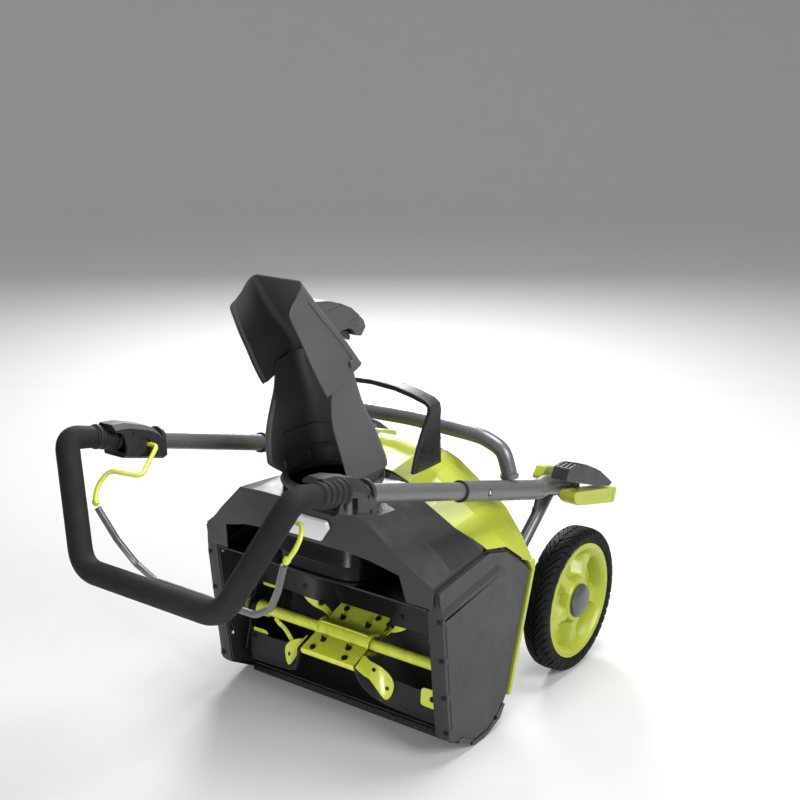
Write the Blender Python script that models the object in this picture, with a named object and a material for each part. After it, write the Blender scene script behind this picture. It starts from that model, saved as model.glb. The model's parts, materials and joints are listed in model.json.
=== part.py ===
"""Cordless snow blower with folding handles, in metres: the front faces -Y, +X is the machine's left, +Z is up."""

import math

import bmesh
import bpy
from mathutils import Matrix, Vector

# Driving dimensions
GAP = 0.0003  # between pieces that touch
BODY_HALF_WIDTH = 0.275  # outer face of a side plate
WALL_X = 0.2465  # outer face of the auger housing's end walls
WALL = 0.0035
COVER_WALL = 0.003  # moulded covers
AUGER_Y, AUGER_Z = -0.020, 0.152
SCROLL_RADIUS = 0.134
PADDLE_RADIUS = 0.110
SHAFT_RADIUS = 0.011
MOTOR_Y, MOTOR_Z = 0.150, 0.262
MOTOR_PULLEY_RADIUS, AUGER_PULLEY_RADIUS = 0.016, 0.046
BELT_LOW_X, BELT_HIGH_X = 0.256, 0.267
BELT_THICKNESS = 0.003
WHEEL_Y, WHEEL_RADIUS = 0.385, 0.148
WHEEL_INNER_X, WHEEL_OUTER_X = 0.228, 0.282
RIM_RADIUS = 0.118
AXLE_RADIUS = 0.008
CHUTE_Y = -0.055  # the chute turns about this upright line
COLLAR_RADIUS = 0.090
DUCT_RADIUS = 0.079
DEFLECTOR_Y, DEFLECTOR_Z = -0.088, 0.712
RAIL_X = 0.231
RAIL_RADIUS, RAIL_SOCKET_RADIUS = 0.016, 0.019
RAIL_FRONT_Y, RAIL_FRONT_Z = -0.254, 0.561
RAIL_SLOPE = 0.2894  # fall per metre towards the rear
PIVOT_Y, PIVOT_Z = 0.400, 0.372
FRAME_X, FRAME_RADIUS = 0.198, 0.0125
BRACE_Y, BRACE_Z = 0.188, 0.532
BAIL_Y, BAIL_Z = -0.303, 0.571
GRIP_FRONT_Y, GRIP_LOW_Z = -0.513, 0.426
FOAM_RADIUS, GRIP_TUBE_RADIUS = 0.020, 0.0125
LID_HINGE_Y, LID_HINGE_Z = 0.308, 0.316
LID_NORMAL = Vector((0, 0.809, 0.588))
LID_ALONG = Vector((0, 0.588, -0.809))
SIDES = 20  # facets of a round piece


def clear_scene():
    for thing in list(bpy.data.objects):
        bpy.data.objects.remove(thing, do_unlink=True)


def finish_material(name, color, roughness, metallic=0.0):
    material = bpy.data.materials.new(name)
    material.use_nodes = True
    shader = material.node_tree.nodes["Principled BSDF"]
    shader.inputs["Base Color"].default_value = (*color, 1)
    shader.inputs["Roughness"].default_value = roughness
    shader.inputs["Metallic"].default_value = metallic
    material.diffuse_color = (*color, 1)
    return material


clear_scene()
CHARCOAL = ((0.035, 0.036, 0.038), 0.55)
LIME = ((0.50, 0.62, 0.03), 0.40)
LIME_STEEL = ((0.48, 0.60, 0.03), 0.35)
SILVER = ((0.55, 0.57, 0.60), 0.40)
GREY_STEEL = ((0.09, 0.09, 0.10), 0.40)
BLACK = ((0.012, 0.012, 0.013), 0.60)
RUBBER = ((0.015, 0.015, 0.016), 0.80)
FOAM = ((0.020, 0.020, 0.021), 0.90)
BARE_STEEL = ((0.55, 0.55, 0.55), 0.30, 1.0)
CLEAR = ((0.85, 0.86, 0.88), 0.10)


# Shape tools


def place(name, bm, finish, origin=(0, 0, 0)):
    """A mesh as an object whose origin lies on its joint."""
    bmesh.ops.recalc_face_normals(bm, faces=bm.faces)
    bmesh.ops.translate(bm, verts=bm.verts, vec=-Vector(origin))
    mesh = bpy.data.meshes.new(name)
    bm.to_mesh(mesh)
    bm.free()
    mesh.shade_smooth()
    mesh.set_sharp_from_angle(angle=math.radians(35))
    thing = bpy.data.objects.new(name, mesh)
    thing.location = origin
    bpy.context.collection.objects.link(thing)
    mesh.materials.append(finish_material(name, *finish))
    return thing


def tool(thing):
    """Marks a cutter or a joined shape, which isn't a piece of its own."""
    thing.hide_render = True
    thing.display_type = "WIRE"
    return thing


def boolean(thing, other, operation):
    modifier = thing.modifiers.new(operation.lower(), "BOOLEAN")
    modifier.operation = operation
    modifier.solver = "EXACT"
    modifier.object = tool(other)


def cut(thing, *others):
    for other in others:
        boolean(thing, other, "DIFFERENCE")


def join(thing, *others):
    for other in others:
        boolean(thing, other, "UNION")


def rings(sections, closed_ends=True):
    """Sections with the same number of points, skinned one to the next."""
    bm = bmesh.new()
    made = [[bm.verts.new(point) for point in section] for section in sections]
    count = len(made[0])
    for first, second in zip(made, made[1:]):
        for i in range(count):
            j = (i + 1) % count
            bm.faces.new((first[i], first[j], second[j], second[i]))
    if closed_ends:
        bm.faces.new(reversed(made[0]))
        bm.faces.new(made[-1])
    return bm


def prism(name, outline, axis, low, high, finish=BLACK, origin=(0, 0, 0)):
    """An outline of pairs, extruded along an axis; the pairs are the other two coordinates in order."""
    low, high = min(low, high), max(low, high)
    point = {
        "x": lambda a, b, c: (c, a, b),
        "y": lambda a, b, c: (a, c, b),
        "z": lambda a, b, c: (a, b, c),
    }[axis]
    sections = [[point(a, b, c) for a, b in outline] for c in (low, high)]
    return place(name, rings(sections), finish, origin)


def box(name, low, high, finish=BLACK, origin=(0, 0, 0)):
    outline = [(low[0], low[1]), (high[0], low[1]), (high[0], high[1]), (low[0], high[1])]
    return prism(name, outline, "z", low[2], high[2], finish, origin)


def circle(centre, radius, sides=SIDES, first=0.0, last=360.0):
    """Points of a full circle, or of an arc with both its ends."""
    full = last - first >= 360
    steps = sides if full else sides - 1
    angles = [math.radians(first + (last - first) * i / steps) for i in range(sides)]
    return [(centre[0] + radius * math.cos(a), centre[1] + radius * math.sin(a)) for a in angles]


def turned(name, profile, y, z, finish=BLACK, sides=SIDES, origin=None):
    """A closed profile of (x, radius) pairs turned about the line along X at y, z."""
    bm = bmesh.new()
    loops = []
    for i in range(sides):
        angle = -math.pi / 2 + 2 * math.pi * i / sides
        loops.append(
            [bm.verts.new((x, y + r * math.cos(angle), z + r * math.sin(angle))) for x, r in profile]
        )
    count = len(profile)
    for i in range(sides):
        first, second = loops[i], loops[(i + 1) % sides]
        for k in range(count):
            n = (k + 1) % count
            bm.faces.new((first[k], first[n], second[n], second[k]))
    bmesh.ops.remove_doubles(bm, verts=bm.verts, dist=1e-6)
    return place(name, bm, finish, origin or (0, y, z))


def rod(name, start, end, radius, finish=BLACK, sides=SIDES, origin=(0, 0, 0)):
    return tube(name, [start, end], radius, finish, sides, origin)


def rounded(points, radius, steps=4):
    """The path with each inner corner replaced by an arc-like bend."""
    points = [Vector(p) for p in points]
    made = [points[0]]
    for before, corner, after in zip(points, points[1:], points[2:]):
        inward, outward = before - corner, after - corner
        half = inward.angle(outward) / 2
        reach = min(radius / math.tan(half), 0.45 * inward.length, 0.45 * outward.length)
        start = corner + inward.normalized() * reach
        end = corner + outward.normalized() * reach
        for i in range(steps + 1):
            t = i / steps
            made.append(start * (1 - t) ** 2 + corner * 2 * t * (1 - t) + end * t**2)
    made.append(points[-1])
    return made


def tube(name, path, radius, finish=BLACK, sides=12, origin=(0, 0, 0), flat=1.0):
    """A round rod along a path; flat squashes its section across the path's own plane."""
    path = [Vector(p) for p in path]
    tangents = []
    for i in range(len(path)):
        before, after = path[max(i - 1, 0)], path[min(i + 1, len(path) - 1)]
        tangents.append((after - before).normalized())
    side = tangents[0].orthogonal().normalized()
    for axis in (Vector((1, 0, 0)), Vector((0, 0, 1))):
        if abs(tangents[0].dot(axis)) < 0.9:
            side = (axis - tangents[0] * axis.dot(tangents[0])).normalized()
            break
    sections = []
    for i, (centre, tangent) in enumerate(zip(path, tangents)):
        if i:
            side = tangents[i - 1].rotation_difference(tangent) @ side
        up = tangent.cross(side).normalized()
        section = []
        for k in range(sides):
            angle = 2 * math.pi * k / sides
            section.append(centre + side * radius * math.cos(angle) + up * radius * flat * math.sin(angle))
        sections.append(section)
    return place(name, rings(sections), finish, origin)


def sheet(name, rows, thickness, finish, origin=(0, 0, 0)):
    """A wall of even thickness under a grid of points, whose rows run towards +X."""
    bm = bmesh.new()
    grid = [[bm.verts.new(point) for point in row] for row in rows]
    for first, second in zip(grid, grid[1:]):
        for i in range(len(first) - 1):
            bm.faces.new((first[i], first[i + 1], second[i + 1], second[i]))
    bmesh.ops.translate(bm, verts=bm.verts, vec=-Vector(origin))
    mesh = bpy.data.meshes.new(name)
    bm.to_mesh(mesh)
    bm.free()
    thing = bpy.data.objects.new(name, mesh)
    thing.location = origin
    bpy.context.collection.objects.link(thing)
    mesh.materials.append(finish_material(name, *finish))
    modifier = thing.modifiers.new("wall", "SOLIDIFY")
    modifier.thickness = thickness
    modifier.offset = -1
    modifier.use_even_offset = False
    return thing


def mirrored(half):
    """A row from -X to +X, given its points from the middle to +X."""
    left = [(-x, y, z) for x, y, z in reversed(half) if x > 0]
    return left + list(half)


def cover_rows(columns, rows):
    """Mirrored rows from one X for each column and (y, z) pairs for each row."""
    return [mirrored([(x, y, z) for x, (y, z) in zip(columns, row)]) for row in rows]


def rail_z(y):
    return RAIL_FRONT_Z - RAIL_SLOPE * (y - RAIL_FRONT_Y)


def rail_point(side, y):
    return (side * RAIL_X, y, rail_z(y))


def sides_of_machine():
    return (("left", 1), ("right", -1))


# Auger housing, side plates and scraper

SIDE_OUTLINE = [
    (-0.076, 0.046), (-0.087, 0.135), (-0.105, 0.307), (-0.110, 0.346), (0.052, 0.366),
    (0.110, 0.349), (0.183, 0.296), (0.197, 0.278), (0.120, 0.050), (0.093, 0.016),
    (0.058, 0.004), (0.040, 0.0), (0.006, 0.0), (-0.010, 0.008),
]
WALL_OUTLINE = [
    (-0.075, 0.050), (-0.0855, 0.135), (-0.103, 0.302), (0.060, 0.345), (0.110, 0.335),
    (0.170, 0.295), (0.183, 0.276), (0.112, 0.050), (0.088, 0.020), (0.017, 0.008), (-0.060, 0.042),
]
TOP_LIP = [(-0.060, 0.2975), (-0.106, 0.3065)]


def build_auger_housing():
    centre = (AUGER_Y, AUGER_Z)
    outer = circle(centre, SCROLL_RADIUS, 26, -87, 78) + TOP_LIP
    inner = circle(centre, SCROLL_RADIUS - WALL, 26, -87, 78)
    inner += [(y, z - WALL) for y, z in TOP_LIP]
    inside = WALL_X - WALL
    housing = prism(
        "auger_housing", outer + inner[::-1], "x", -inside - 0.001, inside + 0.001, CHARCOAL
    )
    for side in (1, -1):
        wall = prism("wall_tool", WALL_OUTLINE, "x", side * inside, side * WALL_X)
        join(housing, wall)
    opening = box("outlet_tool", (-0.088, -0.098, 0.25), (0.088, 0.006, 0.35))
    cut(housing, opening)
    bearing_hole = rod("hole_tool", (-0.3, *centre), (0.3, *centre), 0.022 + GAP)
    motor_hole = rod("hole_tool", (0.2, MOTOR_Y, MOTOR_Z), (0.3, MOTOR_Y, MOTOR_Z), 0.009)
    cut(housing, bearing_hole, motor_hole)
    lip = [(-0.020, 0.006), (-0.004, 0.006), (0.004, 0.0165), (-0.014, 0.0165)]
    prism("scraper_bar", lip, "x", -0.2425, 0.2425, BLACK)


def belt_outline(grow):
    """The outside of a loop round both pulleys, this far from their faces."""
    small, large = Vector((MOTOR_Y, MOTOR_Z)), Vector((AUGER_Y, AUGER_Z))
    span = small - large
    lean = math.degrees(math.asin((AUGER_PULLEY_RADIUS - MOTOR_PULLEY_RADIUS) / span.length))
    heading = math.degrees(math.atan2(span.y, span.x))
    quarter = 90 - lean
    near = circle(small, MOTOR_PULLEY_RADIUS + grow, 9, heading - quarter, heading + quarter)
    far = circle(large, AUGER_PULLEY_RADIUS + grow, 15, heading + quarter, heading + 360 - quarter)
    return near + far


def build_side_plates():
    inner_x = WALL_X + GAP
    for name, side in sides_of_machine():
        plate = prism(
            f"side_plate_{name}", SIDE_OUTLINE, "x", side * inner_x, side * BODY_HALF_WIDTH, CHARCOAL
        )
        pocket = prism("pocket_tool", belt_outline(0.010), "x", side * 0.2, side * 0.2710)
        cut(plate, pocket)
    inside = 4 * GAP
    belt = prism("drive_belt", belt_outline(inside + BELT_THICKNESS), "x", BELT_LOW_X, BELT_HIGH_X, RUBBER)
    cut(belt, prism("loop_tool", belt_outline(inside), "x", 0.2, 0.3))
    for name, side in sides_of_machine():
        low, high = side * (WALL_X - WALL - 0.004), side * WALL_X
        ring = [(low, 0.022), (low, SHAFT_RADIUS + GAP), (high, SHAFT_RADIUS + GAP), (high, 0.022)]
        turned(f"shaft_bearing_{name}", ring, AUGER_Y, AUGER_Z, BARE_STEEL)


# Auger


def about_shaft(radius, degrees):
    angle = math.radians(degrees)
    return (AUGER_Y + radius * math.cos(angle), AUGER_Z + radius * math.sin(angle))


def build_auger():
    axis = (0, AUGER_Y, AUGER_Z)
    rod("auger_shaft", (-0.2455, *axis[1:]), (BELT_HIGH_X + 0.003, *axis[1:]), SHAFT_RADIUS, LIME_STEEL, 14, axis)
    low, high = BELT_LOW_X, BELT_HIGH_X
    bore = SHAFT_RADIUS + GAP
    ring = [(low, AUGER_PULLEY_RADIUS), (low, bore), (high, bore), (high, AUGER_PULLEY_RADIUS)]
    turned("auger_pulley", ring, AUGER_Y, AUGER_Z, BARE_STEEL, 24)
    hub = rod("paddle_clamp", (-0.0625, *axis[1:]), (0.0625, *axis[1:]), 0.017, LIME_STEEL, 14, axis)
    arms = [about_shaft(0.073, a) for a in (CLAMP_ANGLE + 14, CLAMP_ANGLE - 14)]
    arms += [about_shaft(0.073, a) for a in (CLAMP_ANGLE + 194, CLAMP_ANGLE + 166)]
    join(hub, prism("clamp_tool", arms, "x", -0.0615, 0.0615))
    cut(hub, rod("bore_tool", (-0.1, *axis[1:]), (0.1, *axis[1:]), bore, BLACK, 14))
    for half in (0, 180):
        slot = [about_shaft(r, CLAMP_ANGLE + half + a) for r, a in ((0.090, 3), (0.040, 6), (0.040, -6), (0.090, -3))]
        cut(hub, prism("slot_tool", slot, "x", -0.2, 0.2))
    for name, side in sides_of_machine():
        near, far = side * 0.226, side * 0.230
        bar = rod(f"end_bracket_{name}", (near, *axis[1:]), (far, *axis[1:]), 0.024, LIME_STEEL, 16, axis)
        angle = CLAMP_ANGLE + END_TWIST - 2
        reach = [about_shaft(0.092, angle + a) for a in (11, -11)]
        reach += [about_shaft(0.092, angle + 180 + a) for a in (11, -11)]
        join(bar, prism("arm_tool", reach, "x", near, far))
        cut(bar, rod("bore_tool", (-0.3, *axis[1:]), (0.3, *axis[1:]), bore, BLACK, 14))
    for name, half in (("front", 180), ("rear", 0)):
        build_paddle(f"paddle_{name}", CLAMP_ANGLE + half)


CLAMP_ANGLE = 20  # the clamp plates' tilt from level
END_TWIST = 56  # how far the paddles' ends lead their middle
TWIST_START, TWIST_LENGTH = 0.064, 0.019
CLAMPED_RADIUS = 0.066
PADDLE_THICKNESS = 0.006
PADDLE_STATIONS = (
    0.0, 0.040, 0.062, 0.066, 0.069, 0.072, 0.076, 0.080, 0.085, 0.090, 0.096, 0.104, 0.113, 0.125, 0.142, 0.165, 0.195, 0.2255,
)


def paddle_middle(x, radius, angle):
    """A point of a paddle's middle surface, which turns quickly beside the clamp and slowly after it."""
    past = max(abs(x) - TWIST_START, 0)
    turned = END_TWIST * (1 - math.exp(-past * past / (past + 0.003) / TWIST_LENGTH))
    lean = 6 * min(max((abs(x) - 0.080) / 0.070, 0), 1) * (radius - 0.080) / 0.030
    return Vector((x, *about_shaft(radius, angle + turned + lean)))


def build_paddle(name, angle):
    """A rubber strip that is narrow in the clamp and widens where it turns down beside it."""
    sections = []
    step = 0.0005
    for x in [-x for x in reversed(PADDLE_STATIONS[1:])] + list(PADDLE_STATIONS):
        past = max(abs(x) - CLAMPED_RADIUS, 0)
        outer = PADDLE_RADIUS - (PADDLE_RADIUS - CLAMPED_RADIUS) * math.exp(-past / 0.032)
        inner = 0.044 + 0.006 * min(past / 0.10, 1)
        section = []
        for radius, face in ((inner, 1), (outer, 1), (outer, -1), (inner, -1)):
            along = paddle_middle(x + step, radius, angle) - paddle_middle(x - step, radius, angle)
            outwards = paddle_middle(x, radius + step, angle) - paddle_middle(x, radius - step, angle)
            normal = along.cross(outwards).normalized()
            normal.x = 0 if abs(x) > 0.225 else normal.x
            section.append(paddle_middle(x, radius, angle) + normal.normalized() * (face * PADDLE_THICKNESS / 2))
        sections.append([tuple(point) for point in section])
    place(name, rings(sections), RUBBER, (0, AUGER_Y, AUGER_Z))


# Motor


def build_motor():
    low, high = 0.130, 0.2395
    can = [
        (low, 0.042), (low, 0.034), (high - 0.005, 0.034), (high - 0.005, 0.0075), (high, 0.0075), (high, 0.042),
    ]
    turned("motor_housing", can, MOTOR_Y, MOTOR_Z, CHARCOAL)
    rotor = [
        (0.1265, 0.0), (0.1265, 0.006), (0.136, 0.006), (0.136, 0.032), (0.224, 0.032), (0.224, 0.006),
        (BELT_LOW_X, 0.006), (BELT_LOW_X, MOTOR_PULLEY_RADIUS), (BELT_HIGH_X, MOTOR_PULLEY_RADIUS), (BELT_HIGH_X, 0.0),
    ]
    turned("motor_rotor", rotor, MOTOR_Y, MOTOR_Z, BARE_STEEL)
    box("motor_controller", (-0.215, 0.120, 0.235), (-0.130, 0.195, 0.285), BLACK)


# Covers

COLUMNS = (0, 0.060, 0.098, 0.112, 0.143, 0.200, 0.208, 0.240, 0.262)
VISOR_EDGE = [
    (-0.140, 0.388), (-0.140, 0.388), (-0.140, 0.388), (-0.1395, 0.387), (-0.137, 0.383),
    (-0.127, 0.366), (-0.1165, 0.314), (-0.1145, 0.313), (-0.1135, 0.313),
]
CREASE = [
    (-0.146, 0.462), (-0.146, 0.462), (-0.146, 0.462), (-0.146, 0.461), (-0.146, 0.459),
    (-0.134, 0.406), (-0.131, 0.399), (-0.119, 0.368), (-0.113, 0.353),
]
COLLAR_ROW = [0.465, 0.465, 0.465, 0.464, 0.452, 0.416, 0.410, 0.388, 0.364]
BEHIND_CHUTE_ROW = [0.466, 0.466, 0.465, 0.452, 0.436, 0.406, 0.402, 0.389, 0.371]
SEAM_ROW = [0.475, 0.474, 0.464, 0.428, 0.416, 0.397, 0.394, 0.386, 0.376]
SEAM_Y = 0.045


def level_row(y, heights):
    return [(y, z) for z in heights]


def build_top_cover():
    rows = [
        VISOR_EDGE, CREASE, level_row(-0.060, COLLAR_ROW), level_row(0.035, BEHIND_CHUTE_ROW),
        level_row(SEAM_Y - 0.0025, SEAM_ROW),
    ]
    cover = sheet("top_cover", cover_rows(COLUMNS, rows), COVER_WALL, CHARCOAL)
    hole = rod("hole_tool", (0, CHUTE_Y, 0.40), (0, CHUTE_Y, 0.55), DUCT_RADIUS + 0.0015, BLACK, 24)
    cut(cover, hole)
    lens = [(-0.052, 0.392), (0.052, 0.392), (0.061, 0.404), (0.057, 0.438), (-0.057, 0.438), (-0.061, 0.404)]
    prism("headlight_lens", lens, "y", -0.1515, -0.1465, CLEAR)


WING_X = (0, 0.060, 0.098, 0.112, 0.143, 0.200, 0.208, 0.240, 0.270)
LIME_ROWS = [
    level_row(SEAM_Y, [0.480, 0.477, 0.464, 0.428, 0.416, 0.397, 0.394, 0.386, 0.374]),
    level_row(0.110, [0.489, 0.487, 0.476, 0.458, 0.440, 0.404, 0.399, 0.379, 0.357]),
    [
        (0.155, 0.496), (0.155, 0.493), (0.158, 0.482), (0.160, 0.471), (0.170, 0.450),
        (0.172, 0.408), (0.172, 0.401), (0.176, 0.360), (0.180, 0.306),
    ],
    [
        (0.173, 0.497), (0.173, 0.494), (0.177, 0.484), (0.184, 0.474), (0.203, 0.437),
        (0.212, 0.392), (0.212, 0.384), (0.213, 0.340), (0.212, 0.290),
    ],
]
TRIM_LINE = [(0.2005, 0.2795), (0.1235, 0.050)]
TRIM_WIDTH = 0.009


def build_rear_cover():
    cover = sheet("rear_cover", cover_rows(WING_X, LIME_ROWS), COVER_WALL, LIME)
    (top_y, top_z), (low_y, low_z) = TRIM_LINE
    strip = [
        (top_y - 0.0125, 0.3005), (top_y + TRIM_WIDTH, 0.2990), (top_y + TRIM_WIDTH, top_z),
        (low_y + TRIM_WIDTH, low_z), (low_y, low_z), (top_y, top_z),
    ]
    for side in (1, -1):
        join(cover, prism("trim_tool", strip, "x", side * 0.259, side * (BODY_HALF_WIDTH - 0.001)))


TUB_OUTLINE = [
    (0.125, 0.108), (0.250, 0.112), (0.292, 0.165), (0.298, 0.298), (0.240, 0.362),
    (0.195, 0.395), (0.125, 0.330),
]
TUB_HOLLOW = [
    (0.100, 0.112), (0.248, 0.116), (0.288, 0.166), (0.294, 0.320), (0.250, 0.420),
    (0.195, 0.450), (0.100, 0.450),
]
TUB_HALF_WIDTH = 0.125
BACK_PANEL = [(0.120, 0.115), (0.2455, 0.115), (0.2455, 0.300), (0.215, 0.355), (0.120, 0.355)]


def build_rear_housing():
    tub = prism("rear_housing", TUB_OUTLINE, "x", -TUB_HALF_WIDTH, TUB_HALF_WIDTH, CHARCOAL)
    inner = TUB_HALF_WIDTH - 0.004
    cut(tub, prism("hollow_tool", TUB_HOLLOW, "x", -inner, inner))
    for side in (1, -1):
        panel = [(side * x, z) for x, z in BACK_PANEL]
        join(tub, prism("panel_tool", panel, "y", 0.205, 0.2085))
    ears = [(0.292, 0.270), (0.2985, 0.270), (0.3180, 0.305), (0.3180, 0.322), (0.3000, 0.322), (0.292, 0.290)]
    for side in (1, -1):
        join(tub, prism("ear_tool", ears, "x", side * 0.060, side * 0.066))
    hinge = (LID_HINGE_Y, LID_HINGE_Z)
    join(tub, rod("pin_tool", (-0.069, *hinge), (0.069, *hinge), 0.003, BLACK, 10))


LID_X = (0, 0.060, 0.098, 0.112, 0.143, 0.158)
LID_ROWS = [
    [(0.1775, 0.4950), (0.1775, 0.4920), (0.1815, 0.4820), (0.1885, 0.4720), (0.2075, 0.4350), (0.222, 0.405)],
    [(0.210, 0.459), (0.210, 0.457), (0.211, 0.447), (0.213, 0.436), (0.221, 0.407), (0.226, 0.384)],
    [(0.250, 0.404), (0.250, 0.402), (0.248, 0.394), (0.246, 0.388), (0.241, 0.372), (0.236, 0.354)],
    [(0.304, 0.332), (0.304, 0.331), (0.302, 0.329), (0.300, 0.328), (0.291, 0.325), (0.284, 0.321)],
]


def build_battery():
    hinge = (0, LID_HINGE_Y, LID_HINGE_Z)
    lid = sheet("battery_lid", cover_rows(LID_X, LID_ROWS), COVER_WALL, SILVER, hinge)
    barrel = rod("barrel_tool", (-0.057, *hinge[1:]), (0.057, *hinge[1:]), 0.0065, BLACK, 12)
    web = [(0.294, 0.343), (0.302, 0.335), (0.310, 0.316), (0.304, 0.314), (0.296, 0.332)]
    join(lid, barrel, prism("web_tool", web, "x", -0.057, 0.057))
    cut(lid, rod("bore_tool", (-0.3, *hinge[1:]), (0.3, *hinge[1:]), 0.003 + GAP, BLACK, 10))
    centre = Vector((0, 0.239, 0.408)) - LID_NORMAL * 0.022
    half_across, half_along, depth = 0.042, 0.048, 0.112
    sections = []
    for back in (depth, 0.0):
        corner = centre - LID_NORMAL * back
        sections.append(
            [
                corner + Vector((x, 0, 0)) + LID_ALONG * s
                for x, s in (
                    (-half_across, -half_along), (half_across, -half_along),
                    (half_across, half_along), (-half_across, half_along),
                )
            ]
        )
    place("battery_pack", rings(sections), BLACK, centre)


# Discharge duct and chute


def duct_section(z_front, z_rear, blend, sides=28):
    """From a rounded box, where blend is 0, to the chute's round collar, where it is 1."""
    points = []
    for i in range(sides):
        angle = 2 * math.pi * (i + 0.5) / sides
        c, s = math.cos(angle), math.sin(angle)
        power = 0.35
        boxy_x = 0.097 * math.copysign(abs(c) ** power, c)
        boxy_y = -0.0485 + 0.0685 * math.copysign(abs(s) ** power, s)
        round_x, round_y = DUCT_RADIUS * c, CHUTE_Y + DUCT_RADIUS * s
        x = boxy_x + (round_x - boxy_x) * blend
        y = boxy_y + (round_y - boxy_y) * blend
        run = (y + 0.117) / 0.137
        points.append((x, y, z_front + (z_rear - z_front) * run))
    return points


def pipe(name, sections, thickness, finish, origin=(0, 0, 0)):
    """A wall inside a skin of closed sections, open at both ends."""
    inner = []
    for section in sections:
        middle = sum((Vector(p) for p in section), Vector()) / len(section)
        row = []
        for point in section:
            out = Vector(point) - middle
            out.z = 0
            row.append(Vector(point) - out.normalized() * thickness)
        inner.append(row)
    bm = bmesh.new()
    outer_rings = [[bm.verts.new(p) for p in section] for section in sections]
    inner_rings = [[bm.verts.new(p) for p in section] for section in inner]
    loop = outer_rings + inner_rings[::-1]
    count = len(sections[0])
    for first, second in zip(loop, loop[1:] + loop[:1]):
        for i in range(count):
            j = (i + 1) % count
            bm.faces.new((first[i], first[j], second[j], second[i]))
    return place(name, bm, finish, origin)


def build_duct():
    sections = [
        duct_section(0.3090, 0.2875, 0), duct_section(0.385, 0.385, 0),
        duct_section(0.440, 0.440, 1), duct_section(0.4740, 0.4740, 1),
    ]
    duct = pipe("discharge_duct", sections, 0.0025, BLACK)
    low, high = 0.4672, 0.4775
    outer = [(x, y, low) for x, y in circle((0, CHUTE_Y), COLLAR_RADIUS, 28)]
    sections = [outer, [(x, y, high) for x, y, _ in outer]]
    join(duct, pipe("collar_tool", sections, COLLAR_RADIUS - DUCT_RADIUS + 0.001, BLACK))


def channel_row(half_width, front, rear, chamfer):
    """A channel's outline at one level, from its right front edge round the back; front and rear are (y, z)."""
    front_y, front_z = front
    rear_y, rear_z = rear

    def height(y):
        return front_z + (rear_z - front_z) * (y - front_y) / (rear_y - front_y)

    corner_y = rear_y - chamfer
    half = [
        (half_width - chamfer, rear_y), (half_width - 0.3 * chamfer, rear_y - 0.3 * chamfer),
        (half_width, corner_y), (half_width, (corner_y + front_y) / 2), (half_width, front_y),
    ]
    right = [(x, y, height(y)) for x, y in half]
    left = [(-x, y, z) for x, y, z in reversed(right)]
    return left + right


CHUTE_ROWS = [
    (0.080, (-0.100, 0.4845), (0.010, 0.4845), 0.040),
    (0.090, (-0.126, 0.511), (0.022, 0.511), 0.045),
    (0.082, (-0.136, 0.560), (0.000, 0.560), 0.035),
    (0.066, (-0.140, 0.625), (-0.030, 0.625), 0.025),
    (0.0655, (-0.130, 0.685), (-0.060, 0.690), 0.020),
    (0.0655, (-0.124, 0.704), (-0.066, 0.716), 0.020),
]
DEFLECTOR_ROWS = [
    (0.0715, (-0.158, 0.668), (-0.050, 0.707), 0.014),
    (0.0680, (-0.196, 0.738), (-0.078, 0.746), 0.016),
    (0.0665, (-0.214, 0.772), (-0.108, 0.778), 0.016),
    (0.0630, (-0.239, 0.818), (-0.158, 0.830), 0.016),
    (0.0590, (-0.224, 0.836), (-0.190, 0.870), 0.016),
]
WALL_CHUTE = 0.0025


def build_chute():
    axis = (0, CHUTE_Y, 0.484)
    rows = [channel_row(*row) for row in reversed(CHUTE_ROWS)]
    chute = sheet("chute_body", rows, WALL_CHUTE, CHARCOAL, axis)
    outer = [(x, y, 0.4785) for x, y in circle((0, CHUTE_Y), 0.0940, 28)]
    flange = pipe("flange_tool", [outer, [(x, y, 0.4885) for x, y, _ in outer]], 0.0150, BLACK)
    join(chute, flange)
    hinge = (0, DEFLECTOR_Y, DEFLECTOR_Z)
    for side in (1, -1):
        join(chute, rod("pin_tool", (side * 0.0640, *hinge[1:]), (side * 0.0755, *hinge[1:]), 0.004, BLACK, 12))
    rows = [channel_row(*row) for row in reversed(DEFLECTOR_ROWS)]
    deflector = sheet("chute_deflector", rows, WALL_CHUTE, CHARCOAL, hinge)
    cut(deflector, rod("hole_tool", (-0.3, *hinge[1:]), (0.3, *hinge[1:]), 0.0045, BLACK, 12))
    build_deflector_handle()


HANDLE_OUTLINE = [
    (-0.1460, 0.8240), (-0.085, 0.8150), (-0.020, 0.792), (0.014, 0.764), (0.020, 0.748), (0.006, 0.734),
    (-0.010, 0.738), (-0.022, 0.752), (-0.050, 0.756), (-0.0760, 0.746),
]
TRIGGER_OUTLINE = [
    (-0.052, 0.7535), (-0.024, 0.7495), (-0.013, 0.7360), (-0.018, 0.729), (-0.034, 0.738), (-0.056, 0.744),
]
TRIGGER_POCKET = [(-0.060, 0.725), (-0.008, 0.725), (-0.008, 0.763), (-0.060, 0.768)]
HANDLE_HALF_WIDTH = 0.022


def build_deflector_handle():
    handle = prism(
        "deflector_handle", HANDLE_OUTLINE, "x", -HANDLE_HALF_WIDTH, HANDLE_HALF_WIDTH, CHARCOAL,
        (0, DEFLECTOR_Y, DEFLECTOR_Z),
    )
    cut(handle, prism("trigger_tool", TRIGGER_POCKET, "x", -0.0145, 0.0145))
    prism("deflector_trigger", TRIGGER_OUTLINE, "x", -0.014, 0.014, BLACK, (0, -0.050, 0.749))


# Lift handle

LIFT_PATH = [(0.113, 0.484), (0.121, 0.552), (0.134, 0.604), (0.122, 0.6145), (0.060, 0.631)]
LIFT_WIDTHS = [(0.078, 0.046), (0.077, 0.030), (0.075, 0.017), (0.075, 0.016), (0.075, 0.016)]
LIFT_THICKNESS = 0.010


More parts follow.
